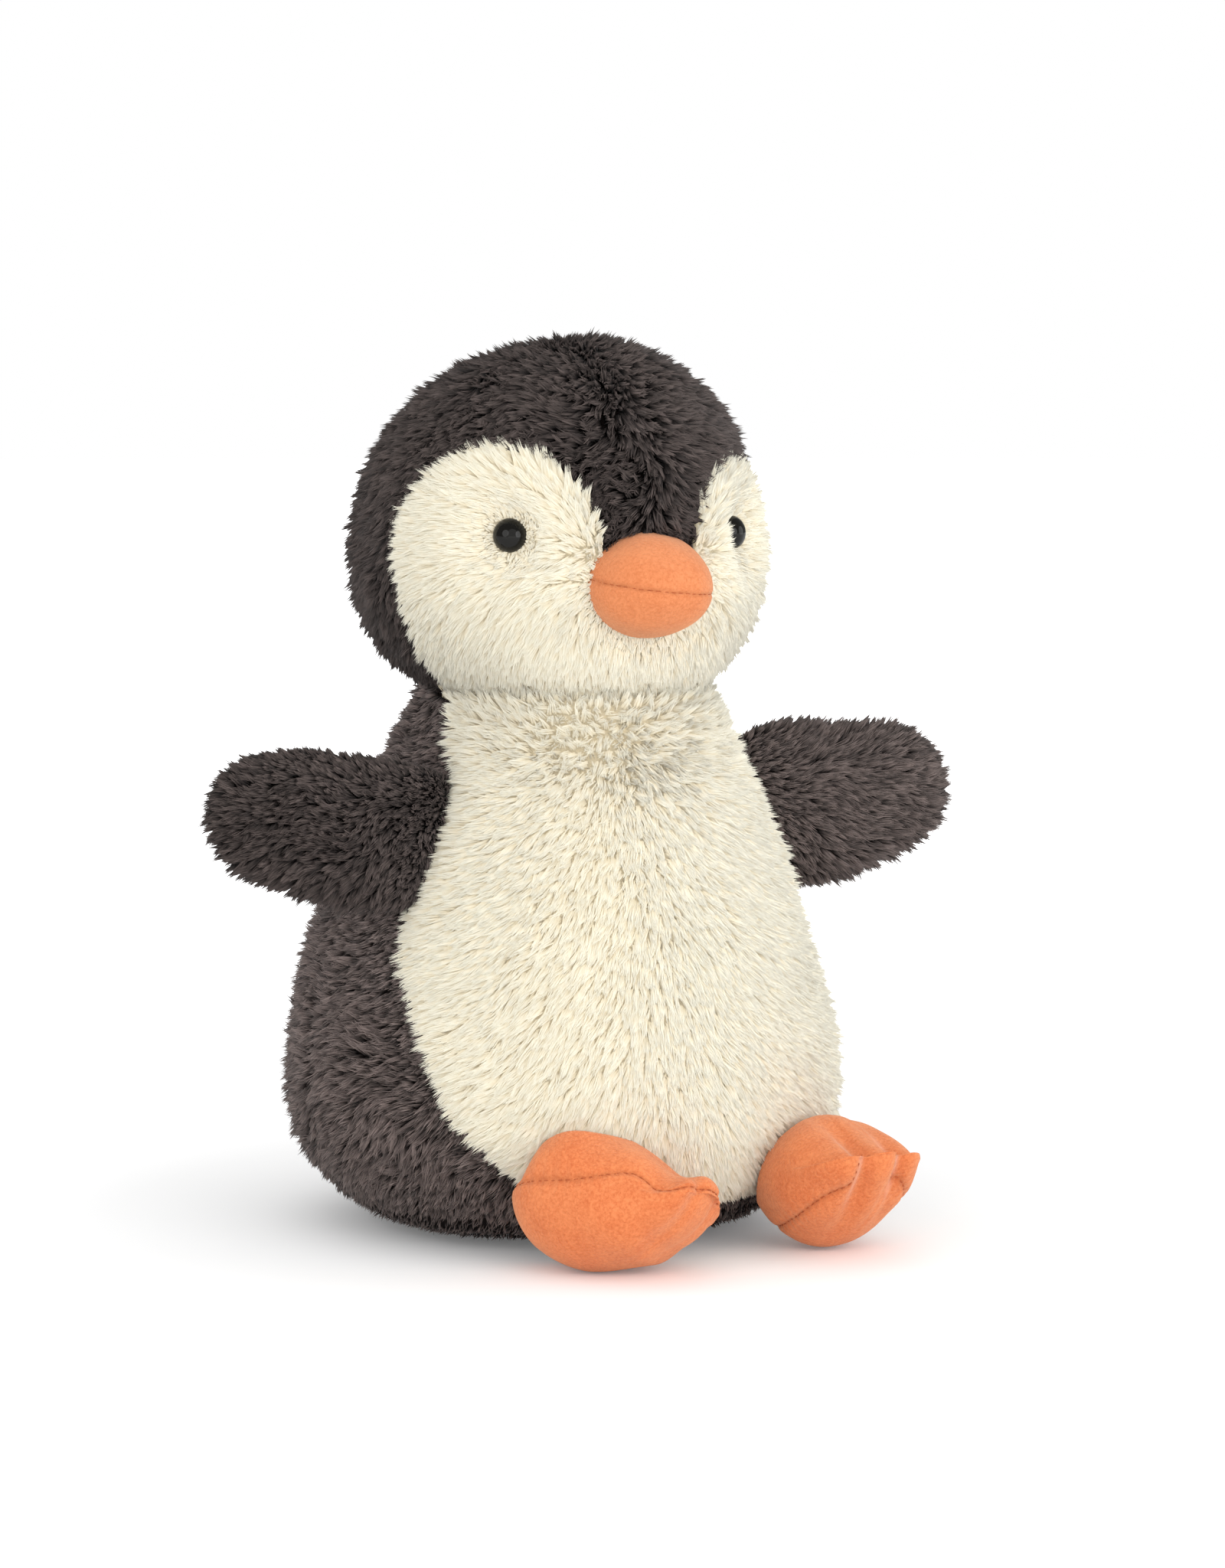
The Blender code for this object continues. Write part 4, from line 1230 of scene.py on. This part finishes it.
class PENGUIN_OT_body(bpy.types.Operator):
    """Stuffed body with its cream bib, dark back and base"""

    bl_idname = "penguin.body"
    bl_label = "Body"

    def execute(self, context):
        prepare(context.scene)
        form, points, surface, cream = self.make_form()
        comb, trim = self.lay_pile(form, points, surface, cream)
        self.grow(form, points, cream, comb, trim)
        return {"FINISHED"}

    def make_form(self):
        top = NECK_HEIGHT - FORM_GAP
        profile = inset_curve(body_curve(), PILE_DEPTH)
        profile = np.concatenate([[(0, top), (profile[0, 0], top)], profile[1:], [(0, profile[-1, 1])]])
        mesh = turned_mesh("body_form", profile, BODY_TURNS)
        points, normals = points_of(mesh), normals_of(mesh)
        surface = points + normals * PILE_DEPTH
        cream = belly_reach(surface)
        middle = bell(points[:, 0], SEAM_WIDTH) * smooth(0.02, 0.035, points[:, 1])
        drawn = BIB_SEAM_DEPTH * bell(cream, SEAM_WIDTH) + BACK_SEAM_DEPTH * middle
        hip = bell(points[:, 2] - 0.072, 0.020) * smooth(0.020, 0.050, points[:, 0])
        drawn += FLAT_HIP * hip * smooth(0.0, 0.010, -points[:, 1])
        points = stuffed(points, normals, cream, drawn, BODY_DIMPLE, 0.017)
        points[:, 2] = np.clip(points[:, 2], PILE_DEPTH * 0.8, top)
        form = formed(mesh, points, "backing", cream=cream)
        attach(form, "body")
        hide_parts("body_stuffing", "bean_pouch")
        return form, points, surface, cream

    def lay_pile(self, form, points, surface, cream):
        """The ways that the pile is combed, and its share of the full length."""
        normals = normals_of(form.data)
        x, y, z = points.T
        angle = np.arctan2(x, -y)
        round_body = np.stack([np.cos(angle), np.sin(angle), np.zeros_like(angle)], axis=1)
        down = unit(laid(DOWN, normals))
        away = np.tanh(angle / 0.40)
        low, behind = 1 - smooth(*BODY_LOW_BAND, z), smooth(2.3, 3.0, np.abs(angle))
        edge = 1 - smooth(0.001, np.where(cream > 0, 0.020, 0.008), np.abs(cream))
        bib = round_body * ((0.62 + 0.5 * edge) * away)[:, None] + down * (0.78 - 0.2 * edge)[:, None]
        falling = np.maximum(low, behind)
        side = round_body * ((0.92 - 0.45 * falling) * np.sign(angle))[:, None]
        side = side + down * (0.35 + 0.6 * falling)[:, None]
        comb = np.where(cream[:, None] > 0, bib, side)
        under = smooth(-0.75, -0.95, normals[:, 2])
        outward = np.column_stack([x, y, 0 * z])
        comb = comb * (1 - under)[:, None] + unit(outward) * under[:, None]
        lean = np.where(cream > 0, PILE_LEAN, 1.0 + 0.9 * edge)
        sizes = (0.012, 0.009)
        comb = brushed(comb, lean, cream, belly_reach, surface, points, normals, sizes, 1.0)
        neck = smooth(*BODY_NECK_BAND, z)
        rising = (np.where(cream > 0, 0.8, 0.0) * smooth(*BIB_RISE_BAND, z))[:, None]
        comb = comb * (1 - rising) - down * (0.6 * rising)
        foot = 1 - smooth(*BODY_FOOT_BAND, z)
        trim = (1 - 0.35 * under) * (1 - 0.5 * foot) * (1 - 0.15 * neck)
        return comb, trim * np.where(cream > 0, 1.0, 1 - 0.45 * edge)

    def grow(self, form, points, cream, comb, trim):
        x, y, z = points.T
        angle = np.arctan2(x, -y)
        base = BASE_SEAM_HEIGHT - z
        bare_top = NECK_HEIGHT - BODY_BARE - z
        areas = {
            "belly": ("cream", cream, 1.0),
            "flank": ("dark", np.minimum(-cream, FLANK_END - np.abs(angle)), 1.0),
            "back": ("dark", np.minimum(-cream, np.abs(angle) - FLANK_END), 1.0),
        }
        grow_halves(form, "body", areas, (-base, bare_top), comb, trim, 0)
        keep = np.minimum(base, 0.05)
        piece = grow_pile("base_pile", form, keep, comb, trim, "dark", DENSITIES["base"], 900)
        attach(piece, "body")
        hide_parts("base_panel")


class PENGUIN_OT_head(bpy.types.Operator):
    """Stuffed head with its dark crown and cream face"""

    bl_idname = "penguin.head"
    bl_label = "Head"

    def execute(self, context):
        prepare(context.scene)
        form, points, surface, cream = self.make_form()
        comb, trim, eye_room = self.clear_eyes(points, self.ways(points, cream))
        self.grow(form, points, surface, cream, comb, trim, eye_room)
        return {"FINISHED"}

    def make_form(self):
        bottom = NECK_HEIGHT + FORM_GAP
        profile = inset_curve(head_curve(), PILE_DEPTH)
        profile[0] = (0, HEAD_MIDDLE + HEAD_CROWN - PILE_DEPTH)
        profile = profile[profile[:, 1] > bottom]
        profile = np.concatenate([profile, [(profile[-1, 0] - 0.001, bottom), (0, bottom)]])
        mesh = turned_mesh("head_form", profile, HEAD_TURNS)
        points = points_of(mesh)
        points[:, 1] -= head_lean(points[:, 2])
        set_points(mesh, points)
        normals = normals_of(mesh)
        surface = points + normals * PILE_DEPTH
        cream = face_reach(surface)
        middle = bell(points[:, 0], SEAM_WIDTH)
        drawn = FACE_SEAM_DEPTH * bell(cream, SEAM_WIDTH) + CROWN_SEAM_DEPTH * middle
        drawn += FLAT_CHEEK * smooth(0.015, 0.040, points[:, 0]) * smooth(0.010, -0.010, points[:, 1])
        for side, eye in eye_frames().items():
            centre = np.array(eye.translation + eye.to_3x3().col[2] * EYE_INSETS[side])
            gap = np.linalg.norm(surface - centre, axis=1)
            drawn = drawn + EYE_HOLLOW * bell(gap, EYE_HOLLOW_RADIUS)
        points = stuffed(points, normals, cream, drawn, HEAD_DIMPLE, 0.016, 2.0)
        points[:, 2] = np.maximum(points[:, 2], bottom)
        form = formed(mesh, points, "backing", cream=cream)
        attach(form, "head")
        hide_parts("head_stuffing")
        return form, points, surface, cream

    def ways(self, points, cream):
        """The ways that the crown and the face are combed."""
        x, y, z = points.T
        sideways = np.column_stack([np.tanh(x / 0.014), 0 * x, 0 * x])
        brow = smooth(-0.018, -0.036, y) * smooth(0.160, 0.176, z)
        fall = smooth(*CROWN_FALL_BAND, z)
        rear = smooth(-0.010, 0.030, y)
        crown = sideways * (0.95 - 0.5 * fall)[:, None]
        crown = crown + BACKWARD * (0.6 * rear - 0.25 * (1 - fall))[:, None]
        crown = crown - UP * (0.2 + 0.75 * fall)[:, None]
        crown = crown * (1 - brow)[:, None] + (sideways * 0.9 - UP * 0.35) * brow[:, None]
        beak = np.array(BEAK_ROOT) + np.array((0, -0.006, 0.0))
        from_beak = unit(points - beak)
        cheek = smooth(*CHEEK_BAND, z)
        face = from_beak * (1 - 0.45 * cheek)[:, None] - UP * (0.25 + 0.75 * cheek)[:, None]
        return np.where(cream[:, None] > 0, face, crown)

    def clear_eyes(self, points, comb):
        """Combs the pile away from the eyes, and shortens it round them."""
        trim = np.ones(len(points))
        eye_room = np.full(len(points), 1.0)
        for side, eye in eye_frames().items():
            sunk = PILE_DEPTH - EYE_INSETS[side] + EYE_HOLLOW
            centre = np.array(eye.translation - eye.to_3x3().col[2] * sunk)
            gap = points - centre
            distance = np.linalg.norm(gap, axis=1)
            toward_beak = unit(gap) @ unit(np.array(BEAK_ROOT) - centre)
            room = 0.006 + 0.006 * smooth(0.0, 0.8, toward_beak)
            near = 1 - smooth(0.0, 1.0, (distance - EYE_RADIUS) / room)
            comb = comb * (1 - 0.6 * near)[:, None] + unit(gap) * (0.7 * near)[:, None]
            trim = trim * (1 - (0.72 + 0.12 * smooth(0.0, 0.8, toward_beak)) * near)
            eye_room = np.minimum(eye_room, distance - EYE_RADIUS * 1.02)
        return comb, trim, eye_room

    def grow(self, form, points, surface, cream, comb, trim, eye_room):
        normals = normals_of(form.data)
        x, y, z = points.T
        local = moved(points, beak_frame().inverted())
        half_height = np.where(local[:, 2] > 0, BEAK_TOP, BEAK_BOTTOM)
        ring = np.hypot(local[:, 0] / BEAK_HALF_WIDTH, local[:, 2] / half_height)
        beak_room = np.where(y < -0.025, (ring - 0.94) * BEAK_TOP, 1.0)
        trim = trim * (1 - 0.7 * (1 - smooth(0.0, 0.007, beak_room)))
        sizes = (0.011, 0.008)
        comb = brushed(comb, PILE_LEAN, cream, face_reach, surface, points, normals, sizes, 3.0)
        edge = 1 - smooth(0.0, 0.008, np.abs(cream))
        neck = (1 - smooth(*HEAD_NECK_BAND, z))[:, None]
        comb = comb * (1 - neck) - UP * (1.9 * neck)
        top = smooth(*CROWN_TOP_BAND, z)
        trim = trim * np.where(cream > 0, 1.0, 1.12 - 0.55 * edge)
        trim = trim * (1 - 0.5 * neck[:, 0] * (1 + 0.4 * ripple(points, 0.004))) * (1 - 0.32 * top)
        bare_low = z - NECK_HEIGHT - HEAD_BARE
        areas = {
            "face": ("cream", np.minimum(cream, eye_room), 1.0),
            "crown": ("dark", -cream, CROWN_SHADE_TONE),
        }
        grow_halves(form, "head", areas, (beak_room, bare_low), comb, trim, 1000)


class PENGUIN_OT_wings(bpy.types.Operator):
    """Flat stuffed wings with shorter pile"""

    bl_idname = "penguin.wings"
    bl_label = "Wings"

    def execute(self, context):
        prepare(context.scene)
        length = context.scene.penguin_dark.wing_length
        half_length = (WING_LENGTH + WING_ROOT_REACH) / 2
        for side, sign in SIDES.items():
            hinge = wing_frame(sign, side)
            level = math.cos(WING_RISE)
            across, ahead = sign * math.cos(WING_SWEEP) * level, math.sin(WING_SWEEP) * level
            aim = Vector((across, ahead, math.sin(WING_RISE)))
            skew = aim.dot(hinge.to_3x3().col[2]) / aim.dot(hinge.to_3x3().col[0])

            def outline(turn):
                tip = superellipse(turn, half_length, WING_HALF_CHORD, 2.4)
                root = superellipse(turn, half_length, WING_HALF_CHORD, 6)
                return np.where(np.cos(turn)[:, None] > 0, tip, root)

            mesh, ball = ball_mesh(f"wing_{side}_form", *WING_FACES)
            thickness = WING_HALF_THICKNESS
            flat = pillow_points(ball, outline, thickness, thickness, WING_PILE_DEPTH)
            along = flat[:, 0] + half_length - WING_ROOT_ROUND - WING_ROOT_REACH
            flat[:, 1] *= 1 - WING_TAPER * along / WING_LENGTH
            shoulder = WING_SHOULDERS[side] * smooth(0.62, 0.1, along / WING_LENGTH)
            flat[:, 1] += shoulder * smooth(0.0, 0.6, flat[:, 1] / WING_HALF_CHORD)
            local = np.column_stack([along, -flat[:, 2], flat[:, 1] + along * skew])
            points = moved(local, hinge)
            form = formed(mesh, points, "backing", cream=np.full(len(points), -1.0))
            body = f"wing_{side}"
            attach(form, body)
            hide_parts(f"wing_{side}_stuffing")
            normals = normals_of(mesh)
            spread = 0.85 * flat[:, 1] / WING_HALF_CHORD - 0.25 - 0.5 * (1 - smooth(0.0, 0.03, along))
            lie = np.column_stack([np.ones(len(flat)), np.zeros(len(flat)), spread + skew])
            comb = lie @ np.array(hinge)[:3, :3].T
            comb = swirl(laid(unit(comb), normals), normals, points, WING_SWIRL, 0.012)
            comb *= WING_LEAN
            height = flat[:, 1] / WING_HALF_CHORD
            trim = 0.6 + 0.4 * smooth(-0.001, 0.010, along)
            trim = trim * (1 - WING_TOP_TRIM[side] * smooth(0.3, 1.0, height))
            trim *= 1 + 0.30 * smooth(-0.3, -1.0, height)
            tone, density = WING_SHADE_TONES[side], DENSITIES["wing"]
            for name, keep in (("front", -local[:, 1] * sign), ("back", local[:, 1] * sign)):
                label, seed = f"wing_{side}_pile_{name}", 2000 + 10 * sign + len(name)
                piece = grow_pile(
                    label, form, keep, comb, trim, "dark", density, seed, tone, length, WING_WILD
                )
                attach(piece, body)
                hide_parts(f"wing_{side}_{name}")
        return {"FINISHED"}


class PENGUIN_OT_beak(bpy.types.Operator):
    """Suede beak with its side seam"""

    bl_idname = "penguin.beak"
    bl_label = "Beak"

    def execute(self, context):
        prepare(context.scene)

        def outline(turn):
            ahead = superellipse(turn, BEAK_HALF_WIDTH, BEAK_AHEAD, 2.4)
            root = superellipse(turn, BEAK_HALF_WIDTH, BEAK_HALF_WIDTH / 2, 3)
            return np.where(np.sin(turn)[:, None] < 0, ahead, root)

        def seam(turn):
            return -BEAK_SEAM_TILT * np.cos(turn)

        def shaped(ball):
            turn = turn_of(ball)
            points = pillow_points(ball, outline, BEAK_TOP + BEAK_RISE, BEAK_BOTTOM)
            above = ball[:, 2] - seam(turn)
            sizes = (BEAK_HALF_WIDTH, BEAK_AHEAD, BEAK_TOP)
            points, near_seam = sewn(points, sizes, above, turn, **BEAK_SEWING)
            return moved(points, Matrix.Translation((BEAK_SHIFT, 0, 0)) @ beak_frame()), near_seam

        mesh, ball = ball_mesh("beak_form", *BEAK_FACES)
        points, near_seam = shaped(ball)
        form = formed(mesh, points, "beak", seam=near_seam)
        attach(form, "head")
        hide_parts("beak_upper", "beak_lower", "beak_stuffing")
        line, _ = shaped(seam_ball(seam) * STITCH_LIFT)
        sew("beak_stitches", line, BEAK_THREAD, "head")
        return {"FINISHED"}


class PENGUIN_OT_feet(bpy.types.Operator):
    """Suede feet with three toes and a sewn edge"""

    bl_idname = "penguin.feet"
    bl_label = "Feet"

    def execute(self, context):
        prepare(context.scene)
        for side in FEET:
            mesh, ball = ball_mesh(f"foot_{side}_form", *FOOT_FACES)
            points, near_seam, ridge = foot_points(side, ball)
            form = formed(mesh, points, "suede", seam=near_seam, ridge=ridge)
            body = f"foot_{side}"
            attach(form, body)
            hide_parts(f"foot_{side}_top", f"foot_{side}_sole", f"foot_{side}_stuffing")
            line, _, _ = foot_points(side, seam_ball(lambda turn: foot_seam(side, turn)) * STITCH_LIFT)
            sew(f"foot_{side}_stitches", line, FOOT_THREAD, body)
        return {"FINISHED"}


class PENGUIN_OT_eyes(bpy.types.Operator):
    """Domed plastic eyes"""

    bl_idname = "penguin.eyes"
    bl_label = "Eyes"

    def execute(self, context):
        prepare(context.scene)
        angles = np.linspace(math.pi / 2, 0, 24)
        dome = np.stack([EYE_RADIUS * np.cos(angles), EYE_DOME * np.sin(angles) - EYE_SUNK], axis=1)
        dome[0, 0] = 0
        rim = -EYE_SUNK - EYE_DOME / 4
        end = rim - EYE_STEM_LENGTH
        back = [(EYE_RADIUS, rim + EYE_LIP), (EYE_RADIUS - EYE_LIP, rim)]
        back += [(EYE_STEM_RADIUS, rim), (EYE_STEM_RADIUS, end), (0, end)]
        for side, place in eye_frames().items():
            mesh = turned_mesh(f"eye_{side}_dome", np.concatenate([dome, back]), EYE_TURNS)
            eye = formed(mesh, moved(points_of(mesh), place), "eye")
            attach(eye, "head")
            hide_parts(f"eye_{side}", f"eye_washer_{side}")
        return {"FINISHED"}


class PENGUIN_OT_stage(bpy.types.Operator):
    """Pale floor, soft lamps and the camera"""

    bl_idname = "penguin.stage"
    bl_label = "Stage"

    def execute(self, context):
        stage = context.scene.penguin_stage
        self.make_floor(stage)
        self.make_world(context.scene)
        for name, place, size, power in LAMPS:
            lamp = bpy.data.lights.new(name, "AREA")
            lamp.shape = "DISK"
            lamp.size = size
            lamp.energy = power
            holder = placed(name, lamp)
            holder.location = place
            holder.rotation_euler = (LAMP_AIM - Vector(place)).to_track_quat("-Z", "Y").to_euler()
        self.make_camera(context.scene, stage)
        context.scene.view_settings.view_transform = "Standard"
        return {"FINISHED"}

    def make_floor(self, stage):
        bm = bmesh.new()
        bmesh.ops.create_circle(bm, cap_ends=True, segments=64, radius=FLOOR_RADIUS)
        floor = new_object("floor", mesh_from(bm, "floor"))
        material, add, shader = new_material("floor", Specular_IOR_Level=0.0)
        spot = add("ShaderNodeTexCoord").outputs["Object"]
        grain = add("ShaderNodeTexNoise", spot, 3.0, 2.0, 0.5)
        dim = rgb([c * 0.985 for c in stage.floor])
        colour = add("ShaderNodeMix", grain.outputs["Fac"], rgb(stage.floor), dim, data_type="RGBA")
        plug(add, shader, Base_Color=colour)
        shader.inputs["Roughness"].default_value = 0.9
        rays = add("ShaderNodeLightPath").outputs
        far = add("ShaderNodeMapRange", add.vector("LENGTH", spot), 0.12, 0.9, 0.1, 1.0)
        glow = add.times(rays["Is Camera Ray"], far)
        shader.inputs["Emission Color"].default_value = (1, 1, 1, 1)
        plug(add, shader, Emission_Strength=glow)
        floor.data.materials.append(material)

    def make_world(self, scene):
        world = bpy.data.worlds.new("studio")
        world.use_nodes = True
        scene.world = world
        add = NodeSheet(world.node_tree)
        background = world.node_tree.nodes["Background"]
        background.inputs["Color"].default_value = (1, 1, 1, 1)
        rays = add("ShaderNodeLightPath").outputs
        mirrored = add("ShaderNodeMix", rays["Is Glossy Ray"], SKY_LIGHT, SKY_MIRRORED, data_type="FLOAT")
        strength = add("ShaderNodeMix", rays["Is Camera Ray"], mirrored, 1.0, data_type="FLOAT")
        add.give(background.inputs["Strength"], strength)

    def make_camera(self, scene, stage):
        turn = stage.azimuth
        right = Vector((math.cos(turn), math.sin(turn), 0))
        toward = Vector((math.sin(turn), -math.cos(turn), 0))
        aim = right * stage.aim_right + Vector((0, 0, stage.aim_height))
        place = toward * stage.distance + right * stage.aim_right + Vector((0, 0, stage.height))
        camera = bpy.data.cameras.new("camera")
        camera.lens = stage.lens
        camera.clip_start = 0.05
        holder = placed("camera", camera)
        holder.location = place
        holder.rotation_euler = (aim - place).to_track_quat("-Z", "Y").to_euler()
        scene.camera = holder


class PENGUIN_PT_finish(bpy.types.Panel):
    """Lists the steps of the finish"""

    bl_idname = "PENGUIN_PT_finish"
    bl_label = "Plush Penguin"
    bl_space_type = "VIEW_3D"
    bl_region_type = "UI"
    bl_category = "Plush Penguin"

    def draw(self, context):
        for step in STEPS:
            self.layout.operator(step.bl_idname)
        for group in GROUP_CLASSES:
            settings = getattr(context.scene, group)
            box = self.layout.box()
            for name in settings.bl_rna.properties.keys():
                if name not in ("rna_type", "name"):
                    box.prop(settings, name)


GROUP_CLASSES = {
    "penguin_dark": PenguinDark,
    "penguin_cream": PenguinCream,
    "penguin_suede": PenguinSuede,
    "penguin_stage": PenguinStage,
}
STEPS = (
    PENGUIN_OT_body,
    PENGUIN_OT_head,
    PENGUIN_OT_wings,
    PENGUIN_OT_beak,
    PENGUIN_OT_feet,
    PENGUIN_OT_eyes,
    PENGUIN_OT_stage,
)


def register():
    for name, group in GROUP_CLASSES.items():
        bpy.utils.register_class(group)
        setattr(bpy.types.Scene, name, PointerProperty(type=group))
    for entry in (*STEPS, PENGUIN_PT_finish):
        bpy.utils.register_class(entry)


def unregister():
    for entry in reversed((*STEPS, PENGUIN_PT_finish)):
        bpy.utils.unregister_class(entry)
    for name, group in reversed(GROUP_CLASSES.items()):
        delattr(bpy.types.Scene, name)
        bpy.utils.unregister_class(group)


def main():
    register()
    bpy.ops.penguin.body()
    bpy.ops.penguin.head()
    bpy.ops.penguin.wings()
    bpy.ops.penguin.beak()
    bpy.ops.penguin.feet()
    bpy.ops.penguin.eyes()
    bpy.ops.penguin.stage()


if __name__ == "__main__":
    main()
